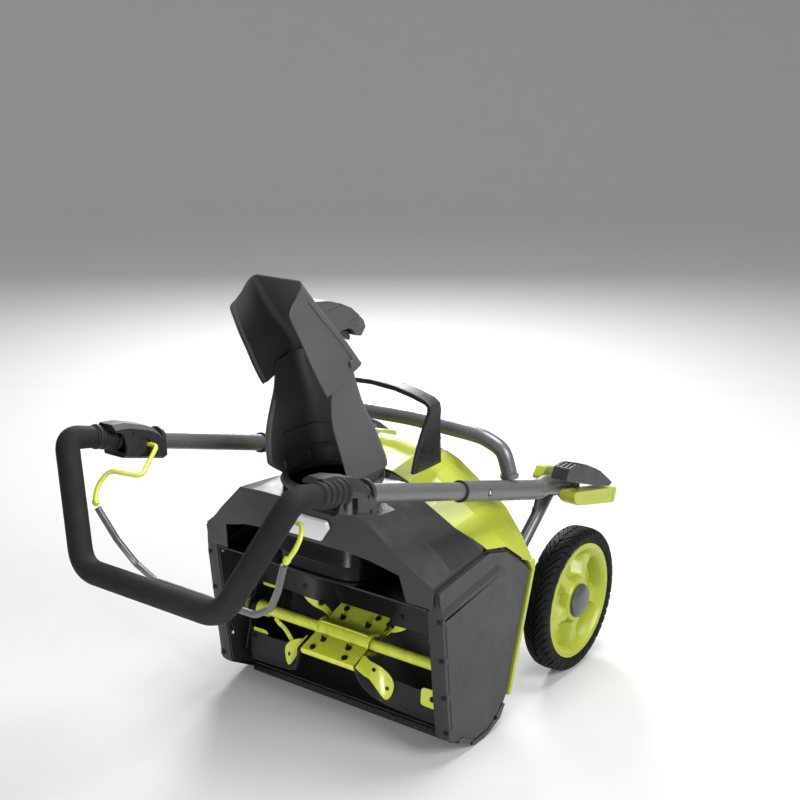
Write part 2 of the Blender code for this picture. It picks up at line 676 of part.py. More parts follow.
def build_lift_handle():
    """An arch whose legs widen towards their feet."""
    half = list(zip(LIFT_PATH, LIFT_WIDTHS))
    stations = half + [(((-x, z)), w) for (x, z), w in reversed(half)]
    sections = []
    for i, ((x, z), (middle, width)) in enumerate(stations):
        before, after = stations[max(i - 1, 0)][0], stations[min(i + 1, len(stations) - 1)][0]
        along = (Vector(after) - Vector(before)).normalized()
        across = Vector((-along.y, along.x)) * (LIFT_THICKNESS / 2)
        sections.append(
            [
                (x - across.x, middle - width, z - across.y), (x - across.x, middle + width, z - across.y),
                (x + across.x, middle + width, z + across.y), (x + across.x, middle - width, z + across.y),
            ]
        )
    place("lift_handle", rings(sections), BLACK)


# Frame, axle and wheels

FRAME_PATH = [
    (PIVOT_Y, PIVOT_Z), (0.268, 0.268), (0.236, 0.222), (0.236, 0.170), (0.290, 0.148), (WHEEL_Y, WHEEL_RADIUS),
]


def build_frame():
    for name, side in sides_of_machine():
        path = rounded([(side * FRAME_X, y, z) for y, z in FRAME_PATH], 0.04, 3)
        frame = tube(f"frame_tube_{name}", path, FRAME_RADIUS, GREY_STEEL, 12)
        inner, outer = side * (FRAME_X - 0.0095), side * (FRAME_X + 0.0130)
        pivot = (PIVOT_Y, PIVOT_Z)
        join(frame, rod("boss_tool", (inner, *pivot), (outer, *pivot), 0.0185, BLACK, 16))
        join(frame, rod("pin_tool", (side * FRAME_X, *pivot), (side * 0.2520, *pivot), 0.006, BLACK, 12))
        strap = [(0.385, 0.360), (0.414, 0.360), (0.412, 0.416), (0.385, 0.424)]
        join(frame, prism("strap_tool", strap, "x", side * 0.2508, side * 0.2537))
        hub = (WHEEL_Y, WHEEL_RADIUS)
        join(frame, rod("eye_tool", (inner, *hub), (outer, *hub), 0.0175, BLACK, 16))
        cut(frame, rod("bore_tool", (0, *hub), (side * 0.3, *hub), AXLE_RADIUS + GAP, BLACK, 12))
        foot = box(
            "foot_tool",
            (min(side * (TUB_HALF_WIDTH + GAP), side * FRAME_X), 0.224, 0.184),
            (max(side * (TUB_HALF_WIDTH + GAP), side * FRAME_X), 0.247, 0.206),
        )
        join(frame, foot)
    rod("axle", (-0.2855, WHEEL_Y, WHEEL_RADIUS), (0.2855, WHEEL_Y, WHEEL_RADIUS), AXLE_RADIUS, BARE_STEEL, 12)


def build_wheels():
    low, high = WHEEL_INNER_X, WHEEL_OUTER_X
    bead = RIM_RADIUS + GAP
    for name, side in sides_of_machine():
        tyre = [
            (low + 0.004, bead), (low, 0.132), (low + 0.004, 0.142), (low + 0.012, WHEEL_RADIUS),
            (high - 0.012, WHEEL_RADIUS), (high - 0.004, 0.142), (high, 0.132), (high - 0.004, bead),
        ]
        rim = [
            (low + 0.006, RIM_RADIUS), (high - 0.004, RIM_RADIUS), (high - 0.006, 0.106), (high - 0.022, 0.096),
            (high - 0.018, 0.045), (high - 0.008, 0.042), (high - 0.008, AXLE_RADIUS + GAP),
            (low + 0.002, AXLE_RADIUS + GAP), (low + 0.002, 0.022), (low + 0.024, 0.026),
            (low + 0.022, 0.098), (low + 0.006, 0.108),
        ]
        cap = [
            (high - 0.0075, 0.0), (high - 0.0075, 0.036), (high - 0.002, 0.034), (high + 0.007, 0.022), (high + 0.007, 0.0),
        ]
        for part, profile, finish, sides in (
            ("tyre", tyre, RUBBER, 32), ("rim", rim, LIME, 32), ("hub_cap", cap, GREY_STEEL, 20),
        ):
            turned(f"wheel_{part}_{name}", [(side * x, r) for x, r in profile], WHEEL_Y, WHEEL_RADIUS, finish, sides)
    for name, side in sides_of_machine():
        cap = bpy.data.objects[f"wheel_hub_cap_{name}"]
        line = ((0, WHEEL_Y, WHEEL_RADIUS), (side * 0.286, WHEEL_Y, WHEEL_RADIUS))
        cut(cap, rod("socket_tool", *line, AXLE_RADIUS + GAP, BLACK, 12))


# Handle pivots

COVER_OUTLINE = [
    (0.290, 0.432), (0.304, 0.454), (0.332, 0.455), (0.431, 0.414), (0.488, 0.372), (0.470, 0.369), (0.404, 0.391),
]
LEVER_OUTLINE = [(0.326, 0.390), (0.334, 0.3975), (0.508, 0.3570), (0.495, 0.326), (0.345, 0.366), (0.330, 0.376)]
NUT_OUTLINE = [(0.330, 0.408), (0.352, 0.430), (0.404, 0.414), (0.400, 0.3920), (0.372, 0.3925)]
LEVER_HINGE = (0.272, 0.3365, 0.384)


def build_pivots():
    for name, side in sides_of_machine():
        prism(f"pivot_cover_{name}", COVER_OUTLINE, "x", side * 0.2540, side * 0.2890, CHARCOAL)
        hinge = (side * LEVER_HINGE[0], LEVER_HINGE[1], LEVER_HINGE[2])
        prism(f"cam_lever_{name}", LEVER_OUTLINE, "x", side * 0.2545, side * 0.2900, LIME, hinge)
        prism(f"pivot_nut_{name}", NUT_OUTLINE, "x", side * 0.1890, side * 0.2115, LIME)
    cable = [(0.216, 0.2155, 0.300), (0.218, 0.245, 0.318), (0.220, 0.290, 0.352), (0.2205, 0.302, 0.384)]
    tube("control_cable", rounded(cable, 0.03, 4), 0.003, BLACK, 8)


# Folding handle


def build_rails():
    pivot = (PIVOT_Y, PIVOT_Z)
    origin = (0, *pivot)
    for name, side in sides_of_machine():
        front = rod(
            f"front_rail_{name}", rail_point(side, RAIL_FRONT_Y - 0.035), rail_point(side, 0.110), RAIL_RADIUS, GREY_STEEL, 16, origin
        )
        bore = rod("bore_tool", rail_point(side, -0.4), rail_point(side, 0.3), RAIL_RADIUS - 0.0015, BLACK, 16)
        cut(front, bore)
        kink = [(0.268, rail_z(0.268)), (0.286, 0.4060), (0.318, 0.4060), (0.392, 0.386)]
        path = [rail_point(side, 0.012)] + [(side * RAIL_X, y, z) for y, z in kink]
        rear = tube(f"rear_rail_{name}", rounded(path, 0.02, 2), RAIL_SOCKET_RADIUS, GREY_STEEL, 16, origin)
        join(rear, rod("lug_tool", (side * 0.2195, *pivot), (side * 0.2425, *pivot), 0.0205, BLACK, 16))
        socket = rod("socket_tool", rail_point(side, -0.1), rail_point(side, 0.252), RAIL_RADIUS + GAP, BLACK, 16)
        cut(rear, socket, rod("hole_tool", (0, *pivot), (side * 0.3, *pivot), 0.0063, BLACK, 12))
        button_line = (side * (RAIL_X + 0.012), BUTTON_Y, rail_z(BUTTON_Y))
        out_line = (side * (RAIL_X + 0.0215), BUTTON_Y, rail_z(BUTTON_Y))
        for rail in (front, rear):
            beyond = (side * 0.3, BUTTON_Y, rail_z(BUTTON_Y))
            cut(rail, rod("button_hole_tool", (side * RAIL_X, *beyond[1:]), beyond, 0.0043, BLACK, 12))
        rod(f"snap_button_{name}", button_line, out_line, 0.004, BARE_STEEL, 12, button_line)
    half = [(0.2300, 0.4420), (0.222, 0.474), (0.209, 0.505), (0.180, 0.520), (0.150, BRACE_Z - 0.006)]
    path = [(x, BRACE_Y, z) for x, z in half] + [(0, BRACE_Y, BRACE_Z)] + [(-x, BRACE_Y, z) for x, z in reversed(half)]
    brace = tube("cross_brace", rounded(path, 0.03, 2), 0.015, GREY_STEEL, 12, origin)
    for side in (1, -1):
        rail = rod("rail_tool", rail_point(side, 0.1), rail_point(side, 0.3), RAIL_SOCKET_RADIUS + GAP, BLACK, 16)
        cut(brace, rail)


BUTTON_Y = 0.082
HOUSING_OUTLINE = [
    (-0.379, 0.570), (-0.3795, 0.624), (-0.350, 0.621), (-0.262, 0.586), (-0.2520, 0.570), (-0.2535, 0.525), (-0.262, 0.520),
]
HOUSING_INNER_X, HOUSING_OUTER_X = 0.200, 0.262
GRIP_START = (0.2390, -0.3600, 0.5940)
GRIP_CORNER = (0.245, -0.450, 0.614)
GRIP_LOW = (0.152, GRIP_FRONT_Y, GRIP_LOW_Z)
START_BUTTON = (-0.333, 0.568)


def grip_path(start):
    half = [start, GRIP_CORNER, GRIP_LOW]
    other = [(-x, y, z) for x, y, z in reversed(half)]
    return rounded(half + other, 0.055, 6)


def build_grip():
    origin = (0, PIVOT_Y, PIVOT_Z)
    bail = (BAIL_Y, BAIL_Z)
    for name, side in sides_of_machine():
        housing = prism(
            f"grip_housing_{name}", HOUSING_OUTLINE, "x", side * HOUSING_INNER_X, side * HOUSING_OUTER_X, CHARCOAL, origin
        )
        start = (RAIL_FRONT_Y - 0.037)
        cut(housing, rod("rail_tool", rail_point(side, start), rail_point(side, 0.1), RAIL_RADIUS + GAP, BLACK, 16))
        mouth = [(side * p[0], p[1], p[2]) for p in (GRIP_START, GRIP_CORNER)]
        step = (Vector(mouth[0]) - Vector(mouth[1])).normalized() * 0.002
        cut(housing, rod("grip_tool", Vector(mouth[0]) + step, mouth[1], GRIP_TUBE_RADIUS + GAP, BLACK, 12))
        cut(housing, rod("wire_tool", (side * 0.15, *bail), (side * 0.214, *bail), 0.0040, BLACK, 10))
    button = rod(
        "start_button", (0.2545, *START_BUTTON), (0.2650, *START_BUTTON), 0.009, LIME, 16, (0.2545, *START_BUTTON)
    )
    button_hole = rod("hole_tool", (0.2490, *START_BUTTON), (0.3, *START_BUTTON), 0.0095, BLACK, 16)
    cut(bpy.data.objects["grip_housing_left"], button_hole)
    tube("grip_tube", grip_path(GRIP_START), GRIP_TUBE_RADIUS, GREY_STEEL, 12, origin)
    foam = tube("foam_grip", grip_path((0.2413, -0.4000, 0.6029)), FOAM_RADIUS, FOAM, 12, origin)
    cut(foam, tube("core_tool", grip_path(GRIP_START), GRIP_TUBE_RADIUS + GAP, BLACK, 12))


WIRE_PATH = [
    (0.2120, BAIL_Y, BAIL_Z), (0.187, BAIL_Y, BAIL_Z), (0.157, -0.370, 0.541), (0.212, -0.391, 0.546),
    (0.221, -0.419, 0.523), (0.207, -0.429, 0.4965),
]
BAR_PATH = [(0.2050, -0.4280, 0.4925), (0.179, -0.414, 0.438), (0.151, -0.400, 0.396), (0.112, -0.393, 0.371)]


def build_bail():
    origin = (0, BAIL_Y, BAIL_Z)
    for name, side in sides_of_machine():
        path = [(side * x, y, z) for x, y, z in WIRE_PATH]
        tube(f"bail_wire_{name}", rounded(path, 0.010, 3), 0.0035, LIME_STEEL, 8, origin)
    path = BAR_PATH + [(-x, y, z) for x, y, z in reversed(BAR_PATH)]
    tube("bail_bar", rounded(path, 0.02, 3), 0.006, GREY_STEEL, 10, origin)


build_auger_housing()
build_side_plates()
build_auger()
build_motor()
build_top_cover()
build_rear_cover()
build_rear_housing()
build_battery()
build_duct()
build_chute()
build_lift_handle()
build_frame()
build_wheels()
build_pivots()
build_rails()
build_grip()
build_bail()
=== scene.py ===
"""The finished look of the cordless snow blower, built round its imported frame, in metres.

The front faces -Y, +X is the machine's left, +Z is up."""

import json
import math

import bmesh
import bpy
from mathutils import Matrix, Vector


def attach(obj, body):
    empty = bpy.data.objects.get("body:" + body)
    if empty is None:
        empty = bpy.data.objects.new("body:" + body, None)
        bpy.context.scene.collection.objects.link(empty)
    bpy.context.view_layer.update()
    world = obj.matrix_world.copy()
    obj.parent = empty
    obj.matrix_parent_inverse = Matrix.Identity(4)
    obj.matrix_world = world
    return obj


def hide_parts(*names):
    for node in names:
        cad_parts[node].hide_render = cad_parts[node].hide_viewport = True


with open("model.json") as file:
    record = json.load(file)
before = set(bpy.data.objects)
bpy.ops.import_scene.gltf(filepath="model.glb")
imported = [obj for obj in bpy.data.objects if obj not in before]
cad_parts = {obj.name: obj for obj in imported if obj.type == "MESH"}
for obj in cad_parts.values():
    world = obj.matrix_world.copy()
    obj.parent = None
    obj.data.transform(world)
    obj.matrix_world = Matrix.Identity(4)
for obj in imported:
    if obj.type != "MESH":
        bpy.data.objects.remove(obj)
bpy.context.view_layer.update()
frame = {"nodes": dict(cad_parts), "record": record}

# Materials

GLOSS_DRIFT = 0.06  # how far roughness wanders either way


def finish(name, color, roughness, grain, depth, spread=0.12, metallic=0.0, coat=0.0, stretch=None, shine=0.5):
    """A surface with grain of so many per metre and depth metres, broad colour drift, and uneven gloss."""
    material = bpy.data.materials.new(name)
    material.use_nodes = True
    nodes, links = material.node_tree.nodes, material.node_tree.links
    where = nodes.new("ShaderNodeTexCoord").outputs["Object"]

    def fill(node, values):
        """Sets a node's sockets to plain values or to other nodes' outputs."""
        for socket, value in values.items():
            if isinstance(value, bpy.types.NodeSocket):
                links.new(value, node.inputs[socket])
            else:
                node.inputs[socket].default_value = value
        return node

    def noise(scale, detail, along=None):
        spot = where
        if along:
            spot = fill(nodes.new("ShaderNodeMapping"), {"Scale": along, "Vector": where}).outputs["Vector"]
        values = {"Scale": scale, "Detail": detail, "Vector": spot}
        return fill(nodes.new("ShaderNodeTexNoise"), values).outputs["Fac"]

    drift = fill(nodes.new("ShaderNodeValToRGB"), {"Fac": noise(9.0, 3.0)})
    for element, position, factor in zip(drift.color_ramp.elements, (0.3, 0.7), (1 - spread, 1 + spread)):
        element.position = position
        element.color = (*(min(1.0, c * factor) for c in color), 1)
    low, high = roughness - GLOSS_DRIFT, roughness + GLOSS_DRIFT
    smears = {"Value": noise(38.0, 4.0, stretch), "From Min": 0.3, "From Max": 0.7, "To Min": low, "To Max": high}
    gloss = fill(nodes.new("ShaderNodeMapRange"), smears)
    bumps = {"Height": noise(grain, 2.0, stretch), "Distance": depth, "Strength": 0.6}
    relief = fill(nodes.new("ShaderNodeBump"), bumps)
    shader = {"Base Color": (*color, 1), "Roughness": roughness, "Metallic": metallic, "Coat Weight": coat}
    shader |= {"Coat Roughness": 0.15, "Specular IOR Level": shine}
    fill(nodes["Principled BSDF"], shader)
    linked = {"Base Color": drift.outputs["Color"], "Roughness": gloss.outputs["Result"]}
    fill(nodes["Principled BSDF"], linked | {"Normal": relief.outputs["Normal"]})
    return material


CHARCOAL = finish("charcoal_plastic", (0.017, 0.0174, 0.0183), 0.42, 900, 0.00022)
CHUTE = finish("chute_plastic", (0.06, 0.061, 0.063), 0.4, 700, 0.0003)
BLACK = finish("black_plastic", (0.008, 0.008, 0.009), 0.3, 900, 0.0001, coat=0.2)
BLACK_SHELL = finish("black_shell", (0.012, 0.0125, 0.013), 0.46, 800, 0.0002)
GLOSS = finish("gloss_black", (0.003, 0.003, 0.0034), 0.3, 600, 0.00005, shine=0.16)
LIME = finish("lime_plastic", (0.34, 0.385, 0.032), 0.34, 900, 0.00015, 0.05)
SILVER = finish("silver_plastic", (0.46, 0.48, 0.5), 0.34, 1100, 0.0001, 0.05, 0.35)
GREY_STEEL = finish("grey_steel", (0.135, 0.137, 0.14), 0.33, 1500, 0.00008, 0.08, 0.45)
CAP = finish("hub_cap", (0.095, 0.098, 0.102), 0.34, 1200, 0.0001, 0.05, 0.55)
LIME_STEEL = finish("lime_steel", (0.56, 0.62, 0.05), 0.28, 600, 0.00008, 0.06, coat=0.25)
BARE_STEEL = finish("bare_steel", (0.55, 0.55, 0.56), 0.3, 400, 0.00005, 0.08, 1.0, stretch=(0.05, 1, 1))
BOLT_STEEL = finish("bolt_steel", (0.012, 0.012, 0.013), 0.34, 900, 0.00005, 0.15, 0.5)
RUBBER = finish("rubber", (0.01, 0.01, 0.011), 0.55, 500, 0.0003, 0.2, shine=0.35)
TYRE = finish("tyre", (0.0045, 0.0045, 0.0046), 0.62, 650, 0.0003, 0.25, shine=0.16)
FOAM = finish("foam", (0.0065, 0.0065, 0.007), 0.8, 420, 0.0011, 0.25, shine=0.35)
LENS = finish("lens", (0.64, 0.66, 0.68), 0.12, 300, 0.00005, 0.03)

SLOTS = {
    "charcoal_plastic": CHARCOAL, "black_plastic": BLACK, "lime_plastic": LIME, "silver_plastic": SILVER,
    "clear_plastic": LENS, "grey_steel": GREY_STEEL, "lime_steel": LIME_STEEL, "bare_steel": BARE_STEEL,
    "black_steel": BOLT_STEEL, "rubber": RUBBER, "tyre": TYRE, "foam": FOAM,
}
SLOT_OF = {material: slot for slot, material in SLOTS.items()}
SLOT_OF |= {CHUTE: "charcoal_plastic", BLACK_SHELL: "charcoal_plastic", GLOSS: "black_plastic", CAP: "black_plastic"}
for entry in frame["record"]["subparts"]:
    node = frame["nodes"][entry["node"]]
    node.data.materials.clear()
    node.data.materials.append(SLOTS[entry["material_slot"]])

# Mesh tools


def mm(table):
    """A number, or a table of numbers, given in millimetres, in metres."""
    return type(table)(map(mm, table)) if isinstance(table, (list, tuple)) else table / 1000


def stand(name, bm, material=None):
    """An object in the scene made of a mesh in progress, which it uses up."""
    bmesh.ops.recalc_face_normals(bm, faces=bm.faces)
    mesh = bpy.data.meshes.new(name)
    bm.to_mesh(mesh)
    bm.free()
    if material:
        mesh.shade_smooth()
        mesh.materials.append(material)
    thing = bpy.data.objects.new(name, mesh)
    bpy.context.scene.collection.objects.link(thing)
    return thing


def dress(name, bm, material, body, stands_for=None, bevel=0.0, segments=2, facets=0.0):
    """A visible piece that rides on its body and stands for the CAD node of its name, or for the one given.
    Edges over 28 degrees are rounded by bevel; those over facets degrees stay crisp folds."""
    thing = stand(f"look_{name}", bm, material)
    if facets or not bevel:
        thing.data.set_sharp_from_angle(angle=math.radians(facets or 35))
    if bevel:
        rounding = thing.modifiers.new("edges", "BEVEL")
        rounding.width = bevel
        rounding.segments = segments
        rounding.limit_method = "ANGLE"
        rounding.angle_limit = math.radians(28)
        rounding.use_clamp_overlap = True
        weights = thing.modifiers.new("shading", "WEIGHTED_NORMAL")
        weights.mode = "FACE_AREA"
        weights.keep_sharp = bool(facets)
    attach(thing, body)
    if (stands_for or name) in frame["nodes"]:
        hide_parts(stands_for or name)
    return thing


def skin(bm, sections, wrap=False):
    """Closed sections joined one to the next, capped, or wrapped from the last to the first."""
    made = [[bm.verts.new(point) for point in section] for section in sections]
    count = len(made[0])
    for first, second in zip(made, made[1:] + made[:1] if wrap else made[1:]):
        for i in range(count):
            j = (i + 1) % count
            bm.faces.new((first[i], first[j], second[j], second[i]))
    if not wrap:
        bm.faces.new(reversed(made[0]))
        bm.faces.new(made[-1])
    return bm


def on_axis(axis, a, b, c):
    return {"x": (c, a, b), "y": (a, c, b), "z": (a, b, c)}[axis]


def prism(bm, outline, axis, low, high):
    """An outline extruded along an axis; a pair is the other two coordinates in their order."""
    return skin(bm, [[on_axis(axis, a, b, c) for a, b in outline] for c in (low, high)])


def rectangle(low_a, low_b, high_a, high_b):
    return [(low_a, low_b), (high_a, low_b), (high_a, high_b), (low_a, high_b)]


def block(bm, low, high):
    return prism(bm, rectangle(*low[:2], *high[:2]), "z", low[2], high[2])


def ring(height, inner, outer):
    """The profile of a plain ring for lathe, or of a disc where inner is 0."""
    return [(0, inner), (0, outer), (height, outer), (height, inner)]


def around(points):
    """Each point of a closed outline with the ones before and after it."""
    points = [Vector(p) for p in points]
    return zip(points[-1:] + points[:-1], points, points[1:] + points[:1])


def shrunk(outline, distance):
    """The outline moved inwards by a distance, corner by corner, whichever way round it is given."""
    sign = math.copysign(1, sum(p.x * q.y - q.x * p.y for _, p, q in around(outline)))
    made = []
    for before, here, after in around(outline):
        first, second = (here - before).normalized(), (after - here).normalized()
        normal = Vector((-first.y, first.x)) * sign
        middle = (normal + Vector((-second.y, second.x)) * sign).normalized()
        made.append(tuple(here + middle * (distance / max(middle.dot(normal), 0.35))))
    return made


def raised(bm, outline, axis, base, top, draft):
    """A panel whose sides lean in by draft from base to top."""
    levels = ((outline, base), (shrunk(outline, draft), top))
    return skin(bm, [[on_axis(axis, a, b, c) for a, b in points] for points, c in levels])


def spline(a, b, c, d, t):
    """A smooth curve from b to c as t goes from 0 to 1."""
    return 0.5 * (2 * b + (c - a) * t + (2 * a - 5 * b + 4 * c - d) * t**2 + (3 * b - a - 3 * c + d) * t**3)


def curve_points(points, steps=6):
    """A smooth path through the points."""
    points = [Vector(p) for p in points]
    padded = [points[0] * 2 - points[1]] + points + [points[-1] * 2 - points[-2]]
    spans = zip(padded, padded[1:], padded[2:], padded[3:])
    return [spline(*span, k / steps) for span in spans for k in range(steps)] + [points[-1]]


def corner_points(before, corner, after, radius, limit, steps):
    """A corner rounded as far as this share of the shorter run allows."""
    inward, outward = before - corner, after - corner
    reach = min(radius / math.tan(inward.angle(outward) / 2), limit * inward.length, limit * outward.length)
    start, end = corner + inward.normalized() * reach, corner + outward.normalized() * reach
    shares = [i / steps for i in range(steps + 1)]
    return [start * (1 - t) ** 2 + corner * 2 * t * (1 - t) + end * t**2 for t in shares]


def bent(points, radius, steps=8):
    """A path of straight runs with each corner rounded."""
    points = [Vector(p) for p in points]
    made = [points[0]]
    for three in zip(points, points[1:], points[2:]):
        made += corner_points(*three, radius, 0.47, steps)
    return made + [points[-1]]


def rounded_outline(outline, radius, steps=4):
    """A closed outline with its corners rounded."""
    return [tuple(p) for three in around(outline) for p in corner_points(*three, radius, 0.45, steps)]


def tube(bm, path, radius, sides=20, height=None):
    """A rod along a path; radius may be a function of 0..1 along it, height the section's other half axis."""
    path = [Vector(p) for p in path]
    lengths = [0.0]
    for first, second in zip(path, path[1:]):
        lengths.append(lengths[-1] + (second - first).length)
    tangents = [(path[min(i + 1, len(path) - 1)] - path[max(i - 1, 0)]).normalized() for i in range(len(path))]
    side = Vector((1, 0, 0)) if abs(tangents[0].x) < 0.9 else Vector((0, 0, 1))
    side = (side - tangents[0] * side.dot(tangents[0])).normalized()
    sections = []
    for i, (centre, tangent) in enumerate(zip(path, tangents)):
        if i:
            side = tangents[i - 1].rotation_difference(tangent) @ side
        side = (side - tangent * side.dot(tangent)).normalized()
        up = tangent.cross(side).normalized()
        here = radius(lengths[i] / lengths[-1]) if callable(radius) else radius
        turns = [2 * math.pi * k / sides for k in range(sides)]
        sections.append([centre + side * here * math.cos(a) + up * (height or here) * math.sin(a) for a in turns])
    return skin(bm, sections)


def lathe(bm, profile, start, direction, sides=32):
    """A closed profile of (distance, radius) pairs turned about a line."""
    start, direction = Vector(start), Vector(direction).normalized()
    side = direction.orthogonal().normalized()
    up = direction.cross(side)
    loops = []
    for i in range(sides):
        angle = 2 * math.pi * i / sides
        out = side * math.cos(angle) + up * math.sin(angle)
        loops.append([bm.verts.new(start + direction * d + out * r) for d, r in profile])
    for first, second in zip(loops, loops[1:] + loops[:1]):
        for k in range(len(profile)):
            n = (k + 1) % len(profile)
            if profile[k][1] or profile[n][1]:
                bm.faces.new((first[k], first[n], second[n], second[k]))
    bmesh.ops.remove_doubles(bm, verts=bm.verts, dist=1e-7)
    return bm


def bolt(bm, place, direction, radius, height):
    """A flanged hexagon head with a domed top."""
    flange = [(-0.001, 0), (-0.001, radius * 1.35), (height * 0.22, radius * 1.35), (height * 0.32, radius)]
    lathe(bm, flange + [(height * 0.32, 0)], place, direction, 18)
    head = [(0, 0), (0, radius), (height * 0.82, radius), (height, radius * 0.78), (height, 0)]
    return lathe(bm, head, place, direction, 6)


def sheet(bm, rows, thickness):
    """A closed wall under a grid of points, measured along the grid's own normals."""
    grid = [[Vector(p) for p in row] for row in rows]
    high, wide = len(grid), len(grid[0])
    outer = [[bm.verts.new(p) for p in row] for row in grid]
    inner = []
    for i in range(high):
        line = []
        for j in range(wide):
            across = grid[i][min(j + 1, wide - 1)] - grid[i][max(j - 1, 0)]
            along = grid[min(i + 1, high - 1)][j] - grid[max(i - 1, 0)][j]
            line.append(bm.verts.new(grid[i][j] - across.cross(along).normalized() * thickness))
        inner.append(line)
    for i in range(high - 1):
        for j in range(wide - 1):
            bm.faces.new((outer[i][j], outer[i][j + 1], outer[i + 1][j + 1], outer[i + 1][j]))
            bm.faces.new((inner[i][j], inner[i + 1][j], inner[i + 1][j + 1], inner[i][j + 1]))
    for j in range(wide - 1):
        bm.faces.new((outer[0][j], inner[0][j], inner[0][j + 1], outer[0][j + 1]))
        bm.faces.new((outer[-1][j], outer[-1][j + 1], inner[-1][j + 1], inner[-1][j]))
    for i in range(high - 1):
        bm.faces.new((outer[i][0], outer[i + 1][0], inner[i + 1][0], inner[i][0]))
        bm.faces.new((outer[i][-1], inner[i][-1], inner[i + 1][-1], outer[i + 1][-1]))
    return bm


def mirrored(half):
    """A row from -X to +X, given its points from the middle to +X."""
    return [(-x, y, z) for x, y, z in reversed(half) if x > 0] + list(half)


def there_and_back(half, middle=()):
    """A path from +X to -X, given its points down to the middle."""
    return [*half, *middle, *((-x, *others) for x, *others in reversed(half))]


def both_sides():
    return (("left", 1), ("right", -1))


def carved(bm, *cutters):
    """The shape with the cutters taken away."""
    things = [stand("temporary", shape) for shape in (bm, *cutters)]
    for cutter in things[1:]:
        modifier = things[0].modifiers.new("carve", "BOOLEAN")
        modifier.operation, modifier.solver, modifier.object = "DIFFERENCE", "EXACT", cutter
    bpy.context.view_layer.update()
    made = bmesh.new()
    made.from_mesh(things[0].evaluated_get(bpy.context.evaluated_depsgraph_get()).to_mesh())
    for thing in things:
        mesh = thing.data
        bpy.data.objects.remove(thing, do_unlink=True)
        bpy.data.meshes.remove(mesh)
    return made


# Wheels

WHEEL_Y, WHEEL_Z = 0.385, 0.148
WHEEL_INNER, WHEEL_OUTER = 0.228, 0.282
RIM_PLANE = WHEEL_OUTER - 0.037  # X of a rim's deepest plane
SPOKES = 5
SPOKE_TURN = math.radians(20)  # of the first spoke from level
POCKET_ANGLES = (-31, -27.5, -24, -20, -10, 0, 10, 20, 24, 27.5, 31, 36)
RIM_RADII = mm((8.3, 36, 41, 43.5, 48, 55, 75, 88, 94, 99, 106, 109, 112.5, 117.5))
RIM_STEPS = mm(((112.5, 33), (109, 34.5), (106, 33), (99, 24.5)))  # radius and depth, from outside
BARREL = mm([
    (33.5, 117.5), (29, 112.5), (24, 105), (-8, 105), (-12, 117.8), (-9.5, 117.8), (-5, 108), (22, 108.5),
    (33.5, 117.9),
])
HUB_CAP = mm([(29.6, 0), (29.6, 33.5), (32.5, 34.5), (36.5, 33.5), (40, 28.5), (42.5, 20), (43.5, 10), (43.8, 0)])


def within(value):
    return min(max(value, 0), 1)


def rim_depth(r, a):
    """How far a rim's outer face stands from its deepest plane."""
    step = 2 * math.pi / SPOKES
    off = abs((a - SPOKE_TURN + step / 2) % step - step / 2)
    half = math.radians(25.5 if r > 0.06 else 20.0)
    if r <= 0.0435:
        return 0.03 if r <= 0.041 else 0.027
    for edge, depth in RIM_STEPS:
        if r >= edge:
            return depth
    inside = within((half - off) / math.radians(4.5)) * within((r - 0.0435) / 0.006) * within((0.0985 - r) / 0.0045)
    return 0.02 + 0.006 * within((0.075 - r) / 0.035) - 0.017 * inside


def rim_back(r, a):
    return rim_depth(r, a) - 0.0035 if r > 0.02 else -0.012


def build_wheels():
    pitch = 2 * math.pi / SPOKES
    angles = [k * pitch + math.radians(a) + SPOKE_TURN for k in range(SPOKES) for a in POCKET_ANGLES]
    for name, side in both_sides():
        body, middle, out = f"wheel_{name}", (side * RIM_PLANE, WHEEL_Y, WHEEL_Z), (side, 0, 0)
        bm = bmesh.new()
        faces = []
        for depth in (rim_depth, rim_back):
            rows = []
            for r in RIM_RADII:
                spots = [(side * (RIM_PLANE + depth(r, a)), r * math.cos(a), r * math.sin(a)) for a in angles]
                rows.append([bm.verts.new((x, WHEEL_Y + y, WHEEL_Z + z)) for x, y, z in spots])
            faces.append(rows)
        front, back = faces
        pairs = [*zip(front, front[1:]), *zip(back, back[1:]), (front[0], back[0]), (back[-1], front[-1])]
        for first, second in pairs:
            for i in range(len(angles)):
                j = (i + 1) % len(angles)
                bm.faces.new((first[i], first[j], second[j], second[i]))
        lathe(bm, BARREL, middle, out, 48)
        dress(f"rim_{name}", bm, LIME, body, f"wheel_rim_{name}", bevel=0.0008)
        dress(f"hub_{name}", lathe(bmesh.new(), HUB_CAP, middle, out, 40), CAP, body, f"wheel_hub_cap_{name}")
        dress(f"tyre_{name}", tyre(side), TYRE, body, f"wheel_tyre_{name}", bevel=0.0005)


# Half of the tyre's section: distance in from its flank, radius
CARCASS_HALF = mm([(6, 118.2), (1.5, 124), (0.8, 131), (3, 137.5), (9, 141.8)])
LUGS = 26
LUG_SURFACE = mm([  # along a lug: distance from the tyre's middle, inner radius, outer radius
    (1.2, 142.5, 147.4), (10, 142.5, 147.2), (18.5, 140.5, 145.8), (23.2, 137, 142.5), (26.2, 132.5, 136),
    (26.8, 127, 130),
])


